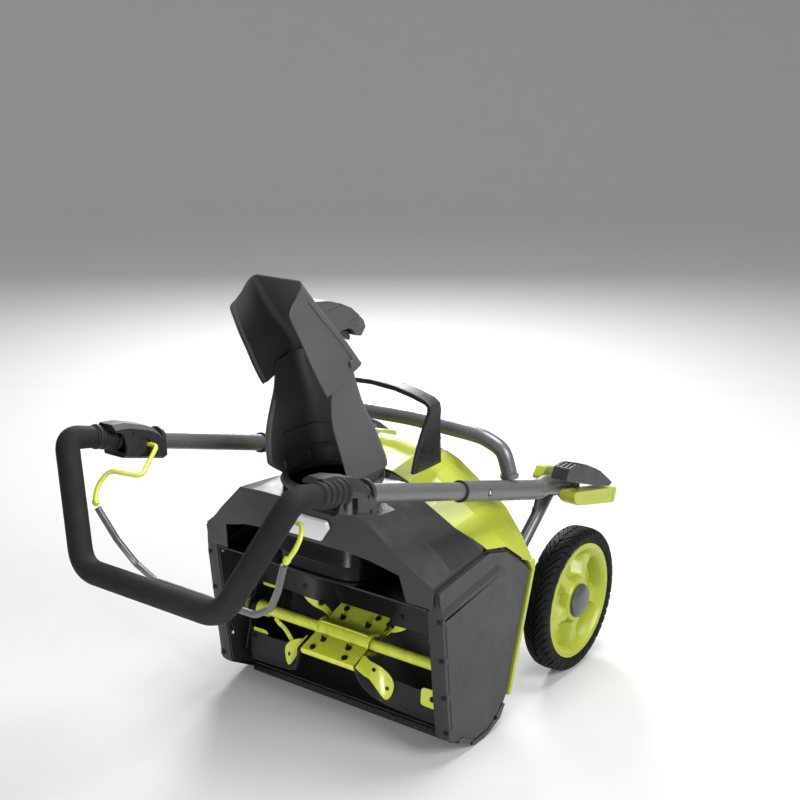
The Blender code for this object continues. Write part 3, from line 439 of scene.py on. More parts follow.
def tyre(side):
    """A rounded carcass with staggered chevron lugs that wrap over both shoulders."""
    bm = bmesh.new()
    half = (WHEEL_OUTER - WHEEL_INNER) / 2
    middle = side * (WHEEL_OUTER + WHEEL_INNER) / 2
    profile = [(-half + x, r) for x, r in CARCASS_HALF] + [(-0.008, 0.1432), (0.008, 0.1432)]
    profile += [(half - x, r) for x, r in reversed(CARCASS_HALF)]
    profile += [(half - 0.009, 0.1172), (-half + 0.009, 0.1172)]
    lathe(bm, profile, (middle, WHEEL_Y, WHEEL_Z), (side, 0, 0), 72)
    pitch = 2 * math.pi / LUGS
    rows = [(k, hand, offset) for k in range(LUGS) for hand, offset in ((1, 0.0), (-1, 0.5))]
    for k, hand, offset in rows:
        for start, width, reach in ((0.0, 0.42, 6), (0.5, 0.34, 5)):
            sections = []
            for n, (x, inner, outer) in enumerate(LUG_SURFACE[:reach]):
                lean = -0.95 * min(x, 0.02) / 0.02
                first = (k + offset + start + lean) * pitch
                last = first + width * pitch
                spot = middle + side * hand * x
                if n == 5:
                    first += 0.12 * pitch
                    last -= 0.12 * pitch
                    spot += side * hand * 0.0004
                quad = ((first, inner - 0.003), (first, outer), (last, outer), (last, inner - 0.003))
                sections.append([(spot, WHEEL_Y + r * math.cos(a), WHEEL_Z + r * math.sin(a)) for a, r in quad])
            skin(bm, sections)
    return bm


# Chute

CHUTE_Y = -0.055
DUCT_RADIUS = 0.079
HINGE_Y, HINGE_Z = -0.088, 0.712
CHUTE_WALL = 0.0026
CHUTE_ROWS = mm([  # from below: half width, front edge and back as (y, z), corner radius, lip
    (80, (-100, 486.5), (10, 486.5), 40, 0), (88, (-122, 504), (19, 504), 44, 3), (89, (-127, 516), (20, 516), 44, 4),
    (82, (-136, 560), (0, 560), 35, 5), (73, (-140, 595), (-16, 595), 29, 5), (66, (-140, 625), (-30, 625), 25, 4),
    (65.5, (-135, 655), (-46, 657), 22, 0), (65.5, (-130, 685), (-60, 690), 20, 0),
    (65.5, (-124, 704), (-66, 716), 20, 0),
])
DEFLECTOR_ROWS = mm([
    (71.5, (-153.5, 666.5), (-50, 707), 14, 0), (71.2, (-158, 672), (-54, 711), 14, 2.5),
    (70, (-178, 705), (-66, 727), 16, 3), (68, (-196, 738), (-81, 746), 17, 3),
    (67.8, (-213, 770), (-115, 781.5), 17, 3), (65.5, (-226, 795), (-138, 806), 17, 3),
    (63, (-237.5, 818), (-158, 830), 17, 3), (60.5, (-234.5, 827.5), (-175, 851), 16, 2),
    (58.5, (-224, 836), (-190, 870), 14, 0),
])


def channel(half_width, front, rear, corner, lip, inset=0.0):
    """A chute wall at one level, from its right front edge round the back to the left; lip turns the edges outwards."""
    front_y, front_z = front
    rear_y, rear_z = rear
    half_width, rear_y = half_width - inset, rear_y - inset
    slope = (rear_z - front_z) / (rear_y - front_y)
    half = [(0.0, rear_y), (0.5 * (half_width - corner), rear_y)]
    for k in range(7):
        angle = math.pi / 2 * k / 6
        half.append((half_width - corner * (1 - math.sin(angle)), rear_y - corner * (1 - math.cos(angle))))
    run = rear_y - corner - front_y
    half += [(half_width, front_y + run * share) for share in (0.66, 0.33)]
    edge = ((0.0, 0.0075), (0.75, 0.0045), (1.0, 0.0035), (1.0, 0.0))
    half += [(half_width + share * lip, front_y + further) for share, further in edge]
    right = [(x, y, front_z + slope * (y - front_y)) for x, y in half]
    return mirrored(right)


def between(rows, steps):
    """The rows with smooth ones put between them."""
    flat = [(w, *front, *rear, corner, lip) for w, front, rear, corner, lip in rows]
    flat = [flat[0]] + flat + [flat[-1]]
    spans = zip(flat, flat[1:], flat[2:], flat[3:])
    made = [[spline(*four, k / steps) for four in zip(*span)] for span in spans for k in range(steps)]
    made.append(flat[-1])
    return [(w, (fy, fz), (ry, rz), corner, lip) for w, fy, fz, ry, rz, corner, lip in made]


def build_chute():
    bm = bmesh.new()
    sheet(bm, [channel(*row) for row in reversed(between(CHUTE_ROWS, 3))], CHUTE_WALL)
    flange = mm([(0, 80), (0, 92.5), (1.5, 93.8), (5.5, 93.8), (7, 92), (9, 89), (9.8, 80)])
    lathe(bm, flange, (0, CHUTE_Y, 0.4786), (0, 0, 1), 72)
    for level, inset, radius in ((3, 0.0036, 0.0022), (2, 0.0036, 0.0016)):
        tube(bm, channel(*CHUTE_ROWS[level], inset)[4:-4], radius, 8)
    for side in (1, -1):
        pin = mm([(0, 0), (0, 3.8), (8.5, 3.8), (8.5, 6.2), (9.5, 6.6), (11.2, 6), (11.8, 4.2), (11.8, 0)])
        lathe(bm, pin, (side * 0.0638, HINGE_Y, HINGE_Z), (side, 0, 0), 24)
        for y in (-0.09, -0.02):
            rib = [(y - 0.0015, 0.489), (y + 0.0015, 0.489), (y + 0.0015, 0.5), (y - 0.0015, 0.506)]
            prism(bm, rib, "x", side * 0.078, side * 0.0905)
    dress("chute", bm, CHUTE, "chute", "chute_body", bevel=0.0007)
    rows = between(DEFLECTOR_ROWS, 2)
    wall = sheet(bmesh.new(), [channel(*row) for row in reversed(rows)], CHUTE_WALL)
    bm = carved(wall, lathe(bmesh.new(), ring(0.3, 0, 0.0046), (-0.15, HINGE_Y, HINGE_Z), (1, 0, 0), 24))
    for side in (1, -1):
        ridge = []
        for width, front, rear, corner, lip in rows[3:-3]:
            back = corner + 0.004
            ridge.append((
                side * (width + 0.0002), rear[0] - back, rear[1] + (front[1] - rear[1]) * back / (rear[0] - front[0])
            ))
        tube(bm, ridge, 0.0018, 8)
    dress("deflector", bm, CHUTE, "deflector", "chute_deflector", bevel=0.0006)
    build_deflector_grip()


GRIP_OUTLINE = mm([
    (-144, 822.5), (-112, 818.5), (-85, 814), (-52, 804), (-22, 791), (0, 774), (13.5, 761.5), (18.5, 749), (6, 735),
    (-9, 738.5), (-19, 751), (-30, 755.5), (-50, 755), (-75.5, 746),
])
TRIGGER = mm([(-52, 753), (-26, 749), (-15, 737), (-19, 730), (-34, 738.5), (-56, 744.5)])


def build_deflector_grip():
    bm = prism(bmesh.new(), GRIP_OUTLINE, "x", -0.0215, 0.0215)
    cutters = [block(bmesh.new(), (-0.0148, -0.06, 0.725), (0.0148, -0.008, 0.763))]
    for start, end in mm((((-98, 795), (-52, 801)), ((-30, 766), (22, 774.5)))):
        for side in (1, -1):
            line = [(y, z + rise) for (y, z), rise in zip((start, end, end, start), (-0.0012, -0.0012, 0.0012, 0.0012))]
            cutters.append(prism(bmesh.new(), line, "x", side * 0.0203, side * 0.03))
    bm = carved(bm, *cutters)
    for side in (1, -1):
        bolt(bm, (side * 0.021, -0.01, 0.756), (side, 0, 0), 0.0022, 0.0018)
    dress("deflector_grip", bm, CHUTE, "deflector", "deflector_handle", bevel=0.0022, segments=3)
    bm = prism(bmesh.new(), rounded_outline(TRIGGER, 0.004), "x", -0.0135, 0.0135)
    for offset in (-0.008, -0.004, 0.0, 0.004, 0.008):
        tube(bm, [(offset, -0.05, 0.7425), (offset, -0.036, 0.738)], 0.001, 6)
    dress("trigger", bm, BLACK, "trigger", "deflector_trigger", bevel=0.0008)


# Covers, side plates and the battery lid

COVER_WALL = 0.0028
# X of each column of a cover; the top cover's last one is a skirt down to the side plate
COLUMNS = mm((0, 60, 98, 112, 143, 200, 208, 240, 262, 262.4))
VISOR_EDGE = mm([
    (-140, 388), (-140, 388), (-140, 388), (-139.5, 387), (-137, 383), (-127, 366), (-116.5, 314), (-114.5, 313),
    (-113.5, 313), (-113.5, 308),
])
CREASE = mm([
    (-146, 462), (-146, 462), (-146, 462), (-146, 461), (-146, 459), (-134, 406), (-131, 399), (-119, 368), (-113, 353),
    (-111.5, 344),
])
COLLAR_ROW = [(-0.06, z) for z in mm((465, 465, 465, 464, 452, 416, 410, 388, 364, 350.5))]
BEHIND_CHUTE = [(0.035, z) for z in mm((466, 466, 465, 452, 436, 406, 402, 389, 371, 362))]
SEAM = [(0.0425, z) for z in mm((475, 474, 464, 428, 416, 397, 394, 386, 376, 363))]
WING_X = (*COLUMNS[:8], 0.27)
LIME_ROWS = [
    [(0.045, z) for z in mm((480, 477, 464, 428, 416, 397, 394, 386, 374))],
    [(0.11, z) for z in mm((489, 487, 476, 458, 440, 404, 399, 379, 357))],
    mm([ (155, 496), (155, 493), (158, 482), (160, 471), (170, 450), (172, 408), (172, 401), (176, 360), (180, 306), ]),
    mm([ (173, 497), (173, 494), (177, 484), (184, 474), (203, 437), (212, 392), (212, 384), (213, 340), (212, 290), ]),
]
TRIM = mm([(188, 300.5), (209.5, 299), (209.5, 279.5), (132.5, 50), (123.5, 50), (200.5, 279.5)])
LID_X = (*COLUMNS[:5], 0.158)
LID_ROWS = mm([
    [(177.5, 495), (177.5, 492), (181.5, 482), (188.5, 472), (207.5, 435), (222, 405)],
    [(210, 459), (210, 457), (211, 447), (213, 436), (221, 407), (226, 384)],
    [(250, 404), (250, 402), (248, 394), (246, 388), (241, 372), (236, 354)],
    [(304, 332), (304, 331), (302, 329), (300, 328), (291, 325), (284, 321)],
])
LID_HINGE = (0.308, 0.316)
PLATE_FOOT = mm([
    (-76, 46), (-87, 135), (-105, 307), (-110, 346), (52, 366), (110, 349), (183, 296), (197, 278), (120, 50), (93, 16),
    (58, 4), (40, 0), (6, 0), (-10, 8),
])
PLATE_FACE = mm([
    (-74.8, 49), (-85.7, 135), (-102, 290), (-101.5, 295.5), (56, 316.5), (81, 320), (156, 258), (161, 251),
    (107.5, 58), (86, 26), (56, 10), (40, 6), (7, 6), (-9, 13),
])
SEAL = mm([
    (104, 350), (112, 354.5), (178, 306), (190, 300.5), (202.5, 279.5), (125.5, 52), (119, 54), (194, 278), (180, 294),
])
SHOE = mm([
    (-50, 30), (-10, 8), (6, 0), (40, 0), (58, 4), (93, 16), (112, 40), (102, 44), (84, 27), (52, 14), (4, 13),
    (-34, 38),
])


def cover(columns, rows):
    return [mirrored([(x, y, z) for x, (y, z) in zip(columns, row)]) for row in rows]


def build_covers():
    bm = sheet(bmesh.new(), cover(COLUMNS, [VISOR_EDGE, CREASE, COLLAR_ROW, BEHIND_CHUTE, SEAM]), COVER_WALL)
    bm = carved(bm, lathe(bmesh.new(), ring(0.2, 0, DUCT_RADIUS + 0.0015), (0, CHUTE_Y, 0.4), (0, 0, 1), 64))
    for side in (1, -1):
        for y, z in ((-0.1405, 0.3995), (-0.1415, 0.417)):
            tube(bm, [(side * 0.064, y, z), (side * 0.128, y + 0.004, z - 0.004)], 0.0012, 8)
    dress("top_cover", bm, CHARCOAL, "chassis", bevel=0.0011, facets=6)
    bm = sheet(bmesh.new(), cover(WING_X, LIME_ROWS), COVER_WALL)
    for side in (1, -1):
        prism(bm, TRIM, "x", side * 0.259, side * 0.2742)
    dress("rear_cover", bm, LIME, "chassis", bevel=0.0013, facets=6)
    outline = rounded_outline(mm([(-46, 397.5), (46, 397.5), (66.5, 427), (61, 440), (-61, 440), (-66.5, 427)]), 0.006)
    bm = raised(bmesh.new(), outline, "y", -0.145, -0.1514, 0.003)
    dress("headlight", bm, LENS, "chassis", "headlight_lens", bevel=0.0012, segments=3)
    build_plates()
    build_lid()


def build_plates():
    for name, side in both_sides():
        inner = shrunk(PLATE_FOOT, 0.003)
        steps = ((inner, 0.2706), (inner, 0.2469), (PLATE_FOOT, 0.2469), (PLATE_FOOT, 0.262), (PLATE_FACE, 0.2736))
        bm = skin(bmesh.new(), [[(side * x, y, z) for y, z in outline] for outline, x in steps])
        raised(bm, rounded_outline(shrunk(PLATE_FACE, 0.0085), 0.006), "x", side * 0.2726, side * 0.2748, 0.0009)
        prism(bm, SEAL, "x", side * 0.25, side * 0.26)
        for y, z in mm(((-100, 287), (-92.5, 210), (-84.5, 135), (-76.5, 62))):
            pad = rounded_outline(rectangle(y - 0.001, z - 0.009, y + 0.01, z + 0.009), 0.003)
            raised(bm, pad, "x", side * 0.27, side * 0.2745, 0.0006)
        dress(f"side_plate_{name}", bm, CHARCOAL, "chassis", bevel=0.001, facets=6)
        bm = bmesh.new()
        for y, z in mm(((-102.2, 287), (-94.8, 210), (-86.6, 135), (-78.2, 62))):
            bolt(bm, (side * 0.2668, y - 0.0005, z), (0, -1, 0.02), 0.0036, 0.0034)
        for y, z in ((0.082, 0.02), (0.0, 0.0065)):
            bolt(bm, (side * 0.2748, y - 0.004, z + 0.004), (side, 0, 0), 0.0034, 0.0028)
        dress(f"plate_bolts_{name}", bm, BOLT_STEEL, "chassis")
        bm = raised(bmesh.new(), SHOE, "x", side * 0.258, side * 0.2756, 0.0012)
        dress(f"skid_shoe_{name}", bm, BLACK, "chassis", bevel=0.0012)


def lid_point(across, along):
    """A point on the lid at a signed X, this share of the way from its front edge to its hinge."""
    i = next(i for i in range(len(LID_X) - 1) if LID_X[i] <= abs(across) <= LID_X[i + 1])
    t = (abs(across) - LID_X[i]) / (LID_X[i + 1] - LID_X[i])
    rows = [Vector((across, *Vector(row[i]).lerp(Vector(row[i + 1]), t))) for row in LID_ROWS]
    spot = along * (len(rows) - 1)
    k = min(int(spot), len(rows) - 2)
    return rows[k].lerp(rows[k + 1], spot - k)


def build_lid():
    bm = sheet(bmesh.new(), cover(LID_X, LID_ROWS), COVER_WALL)
    y, z = LID_HINGE
    lathe(bm, ring(0.114, 0.0034, 0.0065), (-0.057, y, z), (1, 0, 0), 28)
    for x in (-0.05, -0.017, 0.017, 0.05):
        prism(bm, mm([(294, 343), (302, 335), (310.5, 320), (306, 312), (296, 332)]), "x", x - 0.004, x + 0.004)
    for side in (1, -1):
        for x in (0.066, 0.118):
            path = [lid_point(side * x, t / 12) + Vector((0, 0.001, 0.0012)) for t in range(1, 12)]
            tube(bm, path, 0.0016, 8)
    dress("lid", bm, SILVER, "lid", "battery_lid", bevel=0.001)
    bm = bmesh.new()
    for k in range(-7, 8):
        x = k * 0.0125
        start = lid_point(x, 0.035) + Vector((0, 0.0004, 0.001))
        end = lid_point(x + 0.0055, 0.185) + Vector((0, 0.0004, 0.001))
        tube(bm, [start, start.lerp(end, 0.5), end], 0.0021, 8)
    dress("lid_vents", bm, BLACK, "lid")


# Auger housing and duct

AUGER_Y, AUGER_Z = -0.02, 0.152
MOTOR_Y, MOTOR_Z = 0.15, 0.262
SCROLL_RADIUS = 0.134
END_WALL = mm([
    (-75, 50), (-85.5, 135), (-103, 302), (60, 345), (110, 335), (170, 295), (183, 276), (112, 50), (88, 20), (17, 8),
    (-60, 42),
])


def polar(radius, degrees):
    angle = math.radians(degrees)
    return (AUGER_Y + radius * math.cos(angle), AUGER_Z + radius * math.sin(angle))


def arc(radius, start, sweep, count):
    """Points round the auger's axis, from an angle on through a sweep in degrees."""
    return [polar(radius, start + sweep * i / count) for i in range(count + 1)]


def build_housing():
    outer = arc(SCROLL_RADIUS, -87, 165, 60) + [(-0.06, 0.2975), (-0.106, 0.3065)]
    inner = arc(SCROLL_RADIUS - 0.0035, -87, 165, 60) + [(-0.06, 0.294), (-0.106, 0.303)]
    bm = prism(bmesh.new(), outer + inner[::-1], "x", -0.2432, 0.2432)
    opening = rounded_outline(rectangle(-0.088, -0.098, 0.088, 0.006), 0.03, 8)
    bm = carved(bm, prism(bmesh.new(), opening, "z", 0.25, 0.35))
    for side in (1, -1):
        wall = prism(bmesh.new(), END_WALL, "x", side * 0.243, side * 0.2465)
        shaft_hole = lathe(bmesh.new(), ring(0.1, 0, 0.0223), (side * 0.2, AUGER_Y, AUGER_Z), (side, 0, 0), 40)
        motor_hole = lathe(bmesh.new(), ring(0.1, 0, 0.009), (side * 0.2, MOTOR_Y, MOTOR_Z), (side, 0, 0), 24)
        wall = carved(wall, shaft_hole, motor_hole)
        mesh = bpy.data.meshes.new("temporary")
        wall.to_mesh(mesh)
        wall.free()
        bm.from_mesh(mesh)
        bpy.data.meshes.remove(mesh)
        ridge = mm([(0, 57.8), (1.6, 58.7), (1.6, 61.3), (0, 62.2)])
        lathe(bm, ridge, (side * 0.243, AUGER_Y, AUGER_Z), (-side, 0, 0), 56)
        tube(bm, [(side * 0.2428, y, z) for y, z in arc(0.104, -75, 170, 40)], 0.0014, 8)
        for angle in (-70, -25, 20, 65, 110):
            reach = 0.102 if angle < 90 else 0.085
            tube(bm, [(side * 0.2428, *polar(0.062, angle)), (side * 0.2428, *polar(reach, angle))], 0.0014, 8)
        boss = mm([(0, 24.5), (0, 33), (1.8, 32), (1.8, 24.5)])
        lathe(bm, boss, (side * 0.243, AUGER_Y, AUGER_Z), (-side, 0, 0), 40)
    for x in (-0.155, -0.052, 0.052, 0.155):
        tube(bm, [(x, y, z) for y, z in arc(SCROLL_RADIUS + 0.0005, -80, 150, 40)], 0.0022, 8)
    dress("auger_housing", bm, BLACK_SHELL, "chassis", bevel=0.0008)
    bm = bmesh.new()
    for side in (1, -1):
        for y, z in mm(((-95.5, 292), (-85, 214), (-76.5, 110))):
            bolt(bm, (side * 0.2432, y + 0.003, z), (-side, 0, 0), 0.0036, 0.0032)
    dress("wall_bolts", bm, BARE_STEEL, "chassis")
    bar = mm([(-19.5, 6.2), (-4.5, 6.2), (3.6, 16), (1, 16.4), (-14, 16.4), (-19.5, 9)])
    bm = prism(bmesh.new(), bar, "x", -0.2424, 0.2424)
    for k in range(9):
        bolt(bm, (-0.212 + 0.053 * k, -0.0168, 0.0127), (0, -0.82, 0.57), 0.0026, 0.0022)
    dress("scraper", bm, BLACK, "chassis", "scraper_bar", bevel=0.0009)
    build_duct()


def duct_ring(front_z, rear_z, blend, grow, sides=72):
    """A level of the duct, from a rounded box where blend is 0 to the chute's round collar where it is 1."""
    level = []
    for i in range(sides):
        angle = 2 * math.pi * (i + 0.5) / sides
        c, s = math.cos(angle), math.sin(angle)
        boxy = Vector((math.copysign(abs(c) ** 0.42, c), -0.0485 + 0.0685 * math.copysign(abs(s) ** 0.42, s)))
        flare = max(0.0, 1 - (front_z - 0.309) / 0.075)
        boxy.x *= 0.097 + flare * (0.04 * (boxy.y + 0.117) / 0.137 - 0.01)
        round_one = Vector((DUCT_RADIUS * c, CHUTE_Y + DUCT_RADIUS * s))
        spot = boxy.lerp(round_one, blend)
        spot += (spot - Vector((0, -0.05))).normalized() * grow
        run = (spot.y + 0.117) / 0.137
        level.append((spot.x, spot.y, front_z + (rear_z - front_z) * run))
    return level


DUCT_LEVELS = [  # from below: front and rear height, blend, how far it stands out
    (0.3092, 0.2877, 0.0, 0.0035), (0.3125, 0.291, 0.0, 0.0062), (0.315, 0.294, 0.0, 0.0068),
    (0.3172, 0.297, 0.0, 0.0052), (0.3185, 0.299, 0.0, 0.001), (0.33, 0.315, 0.0, 0.0), (0.3405, 0.33, 0.0, 0.0008),
    (0.343, 0.333, 0.0, 0.0072), (0.3458, 0.336, 0.0, 0.0088), (0.349, 0.34, 0.0, 0.0082), (0.365, 0.36, 0.0, 0.005),
    (0.385, 0.385, 0.0, 0.0012), (0.4, 0.4, 0.18, 0.0), (0.415, 0.415, 0.52, 0.0), (0.43, 0.43, 0.86, 0.0),
    (0.44, 0.44, 1.0, 0.0), (0.4672, 0.4672, 1.0, 0.0), (0.4674, 0.4674, 1.0, 0.011), (0.4772, 0.4772, 1.0, 0.011),
    (0.4774, 0.4774, 1.0, 0.0),
]


def build_duct():
    outer = [duct_ring(*level) for level in DUCT_LEVELS]
    inner = [duct_ring(front, rear, blend, -0.0028) for front, rear, blend, grow in DUCT_LEVELS]
    bm = skin(bmesh.new(), outer + inner[::-1], wrap=True)
    dress("duct", bm, GLOSS, "chassis", "discharge_duct", bevel=0.0004)


# Auger

SHAFT_RADIUS = 0.011
CLAMP_ANGLE = 20
END_TWIST = 56
TWIST_START, TWIST_LENGTH = 0.064, 0.019
CLAMPED_RADIUS, PADDLE_RADIUS = 0.066, 0.11
STRIP_END = 0.2245  # past it a paddle's edge is square to the shaft
PADDLE_HALF = 0.0029  # half the thickness of the rubber
PLATE_FACE_LIFT = 0.0062  # of a bolted plate's outer face off the paddle's middle


def strip_middle(x, radius, half):
    """A point of a paddle's middle surface; half is 180 for the front paddle, 0 for the rear."""
    past = max(abs(x) - TWIST_START, 0)
    turned = END_TWIST * (1 - math.exp(-past * past / (past + 0.003) / TWIST_LENGTH))
    lean = 6 * within((abs(x) - 0.08) / 0.07) * (radius - 0.08) / 0.03
    return Vector((x, *polar(radius, CLAMP_ANGLE + half + turned + lean)))


def strip_normal(x, radius, half):
    step = 0.0005
    along = strip_middle(x + step, radius, half) - strip_middle(x - step, radius, half)
    outwards = strip_middle(x, radius + step, half) - strip_middle(x, radius - step, half)
    return along.cross(outwards).normalized()


def on_strip(x, radius, half, lift):
    """A point lift metres off a paddle's middle surface; the leading face is the positive one."""
    normal = strip_normal(x, radius, half)
    if abs(x) > STRIP_END:
        normal = Vector((0, normal.y, normal.z)).normalized()
    return tuple(strip_middle(x, radius, half) + normal * lift)


def build_auger():
    shaft = [
        (0, 0), (0, SHAFT_RADIUS - 0.001), (0.001, SHAFT_RADIUS), (0.5145, SHAFT_RADIUS),
        (0.5155, SHAFT_RADIUS - 0.001), (0.5155, 0),
    ]
    bm = lathe(bmesh.new(), shaft, (-0.2455, AUGER_Y, AUGER_Z), (1, 0, 0), 40)
    for side in (1, -1):
        lathe(bm, ring(0.006, 0.0105, 0.015), (side * 0.2315, AUGER_Y, AUGER_Z), (side, 0, 0), 6)
    dress("shaft", bm, LIME_STEEL, "auger", "auger_shaft")
    build_clamp()
    for name, half in (("front", 180), ("rear", 0)):
        build_paddle(name, half)
    for name, side in both_sides():
        build_bracket(name, side)


def across(distance, height):
    """A point of the clamp's section: distance out from the shaft, height over its middle plane."""
    angle = math.radians(CLAMP_ANGLE)
    c, s = math.cos(angle), math.sin(angle)
    return (AUGER_Y + distance * c - height * s, AUGER_Z + distance * s + height * c)


def build_clamp():
    bm = bmesh.new()
    for face in (1, -1):
        turns = [math.radians(a) for a in range(20, 161, 10)]
        hump = [(0.0185 * math.cos(a), 0.0185 * math.sin(a)) for a in turns]
        upper = mm([(66.5, -1.8), (69, 2), (66.5, 7.2), (27, 7.2)]) + hump
        upper += mm([(-27, 7.2), (-66.5, 7.2), (-69, 2), (-66.5, -1.8)])
        thin = mm([(-64, -1.8), (-65, 4.2), (-25, 4.2)])
        thin += [(0.0152 * math.cos(a), 0.0152 * math.sin(a)) for a in reversed(turns)]
        thin += mm([(25, 4.2), (65, 4.2), (64, -1.8)])
        prism(bm, [across(d, face * h) for d, h in upper + thin], "x", -0.059, 0.0655)
        for x in (-0.0577, 0.0642):
            arch = [across(0.02 * math.cos(a), face * 0.0205 * math.sin(a)) for a in turns]
            tube(bm, [(x, *p) for p in arch], 0.0022, 10)
        tube(bm, [(-0.056, *across(0, face * 0.019)), (0.056, *across(0, face * 0.019))], 0.0018, 10)
    dress("clamp", bm, LIME_STEEL, "auger", "paddle_clamp", bevel=0.0012)
    bm = bmesh.new()
    angle = math.radians(CLAMP_ANGLE)
    for face in (1, -1):
        up = Vector((0, -face * math.sin(angle), face * math.cos(angle)))
        for d, reach in mm(((56, 38), (32, 30), (-32, 30), (-56, 38))):
            for x in (-reach, reach):
                spot = Vector((x, *across(d, face * 0.0072)))
                bolt(bm, spot, up, 0.0046, 0.0044)
                if abs(d) < 0.04:
                    lathe(bm, mm([(0, 0), (0, 2.1), (10, 2.1), (10.8, 1.4), (10.8, 0)]), spot, up, 16)
    dress("clamp_bolts", bm, BOLT_STEEL, "auger")


TONGUE = mm([  # along the tongue: middle x, middle radius, half width
    (64.5, 50, 16), (69, 49.5, 15.5), (74, 48.5, 15), (80, 47.5, 15), (86, 49.5, 17.2), (93, 52.5, 19.8),
    (100, 56, 21.5), (107, 59.7, 22.8), (114, 64, 22.8), (119.5, 67, 21.2), (124, 69, 17.5), (127, 70, 11),
    (128, 70.4, 6),
])
TONGUE_SLANTS = [(0.0, 1.0)] * 5 + [
    (-0.02, 1.0), (-0.06, 1.0), (-0.12, 0.99), (-0.19, 0.98), (-0.25, 0.97), (-0.3, 0.95), (-0.33, 0.94), (-0.34, 0.94),
]
TAB = mm([(225.5, 59, 15), (223.5, 59, 16.5), (204, 59, 16.8), (192.5, 59, 15.8), (189, 59, 12)])


def plate_on_strip(bm, stations, side, half, face, headings):
    """A plate bolted to a paddle, following its twist; headings give each station's width direction in (x, radius)."""
    rows = []
    for (x, radius, width), (along_x, along_r) in zip(stations, headings):
        steps = [width * share for share in (-1, -0.55, 0, 0.55, 1)]
        spots = [(side * (x + along_x * step), radius + along_r * step) for step in steps]
        rows.append([on_strip(*spot, half, face * PLATE_FACE_LIFT) for spot in spots])
    if side * face < 0:
        rows = rows[::-1]
    return sheet(bm, rows, 0.0026)


STATIONS = mm((
    0, 30, 50, 62, 66, 69, 72, 75, 78, 82, 86, 90, 95, 100, 106, 113, 120, 130, 142, 155, 170, 185, 200, 213, 225.5,
))


def outer_radius(x):
    return PADDLE_RADIUS - (PADDLE_RADIUS - CLAMPED_RADIUS) * math.exp(-max(abs(x) - CLAMPED_RADIUS, 0) / 0.032)


def build_paddle(name, half):
    along = [-x for x in reversed(STATIONS[1:])] + list(STATIONS)
    sections = []
    for x in along:
        outer = outer_radius(x)
        inner = 0.044 + 0.006 * within((abs(x) - CLAMPED_RADIUS) / 0.1)
        third = (outer - inner) / 3
        edge = [(inner, 1), (inner + third, 1), (outer - third, 1), (outer - 0.0015, 1), (outer, 0.3)]
        edge += [(radius, -lift) for radius, lift in reversed(edge)]
        sections.append([on_strip(x, radius, half, lift * PADDLE_HALF) for radius, lift in edge])
    bm = skin(bmesh.new(), sections)
    for below in (0.0055, 0.011):
        for face in (1, -1):
            for side in (1, -1):
                line = [on_strip(side * x, outer_radius(x) - below, half, face * PADDLE_HALF) for x in STATIONS[6:]]
                tube(bm, line, 0.0007, 6)
    dress(f"paddle_{name}", bm, RUBBER, "auger", bevel=0.0008)
    bm, bolts = bmesh.new(), bmesh.new()
    for side in (1, -1):
        plate_on_strip(bm, TONGUE, side, half, -1, TONGUE_SLANTS)
        plate_on_strip(bm, TAB, side, half, 1 if side < 0 and half else -1, [(0.0, 1.0)] * len(TAB))
        for x, radius in mm(((83, 44), (116, 66.5), (215, 58.5))):
            for face, away in ((-1, PLATE_FACE_LIFT), (1, PADDLE_HALF)):
                spot = Vector(on_strip(side * x, radius, half, face * away))
                above = Vector(on_strip(side * x, radius, half, face * 0.012))
                bolt(bolts, spot, above - spot, 0.0042, 0.004)
    dress(f"tongues_{name}", bm, LIME_STEEL, "auger", bevel=0.0007)
    dress(f"paddle_bolts_{name}", bolts, BOLT_STEEL, "auger")


def build_bracket(name, side):
    angle = CLAMP_ANGLE + END_TWIST - 2
    half = [(0.086, -7), (0.09, 0), (0.086, 7)] + [(0.0235, a) for a in (32, 52, 72, 90, 108, 128, 148)]
    outline = [polar(radius, angle + turn + a) for turn in (180, 0) for radius, a in half]
    bm = prism(bmesh.new(), outline, "x", side * 0.2262, side * 0.2298)
    lathe(bm, mm([(0, 11.3), (0, 18.5), (10, 17), (10, 11.3)]), (side * 0.2264, AUGER_Y, AUGER_Z), (-side, 0, 0), 32)
    dress(f"end_bracket_{name}", bm, BOLT_STEEL, "auger", bevel=0.0008)
    bm = bmesh.new()
    if side < 0:
        stay = [
            (0.176, 0.0125, 262), (0.166, 0.019, 257), (0.149, 0.026, 255), (0.13, 0.04, 253), (0.117, 0.054, 252),
            (0.1085, 0.068, 250),
        ]
        lathe(bm, ring(0.035, 0.0109, 0.0145), (-0.1905, AUGER_Y, AUGER_Z), (-1, 0, 0), 32)
    else:
        stay = [(0.1985, 0.052, 98), (0.2, 0.04, 94), (0.203, 0.028, 88), (0.207, 0.018, 66), (0.21, 0.014, 30)]
    tube(bm, curve_points([(side * x, *polar(r, a)) for x, r, a in stay], 6), 0.0048, 12, 0.0016)
    dress(f"end_stay_{name}", bm, LIME_STEEL, "auger")


# Folding handle

PIVOT_Y, PIVOT_Z = 0.4, 0.372
RAIL_X = 0.231
RAIL_SLOPE = 0.2894
BUTTON_Y = 0.082
BAIL_Y, BAIL_Z = -0.303, 0.571
GRIP_START = (0.239, -0.36, 0.594)
GRIP_CORNER = (0.245, -0.45, 0.614)
GRIP_LOW = (0.152, -0.513, 0.426)


def rail_z(y):
    return 0.561 - RAIL_SLOPE * (y + 0.254)


def rail_point(side, y):
    return (side * RAIL_X, y, rail_z(y))


def grip_path(start):
    return bent(there_and_back([start, GRIP_CORNER, GRIP_LOW]), 0.055, 14)


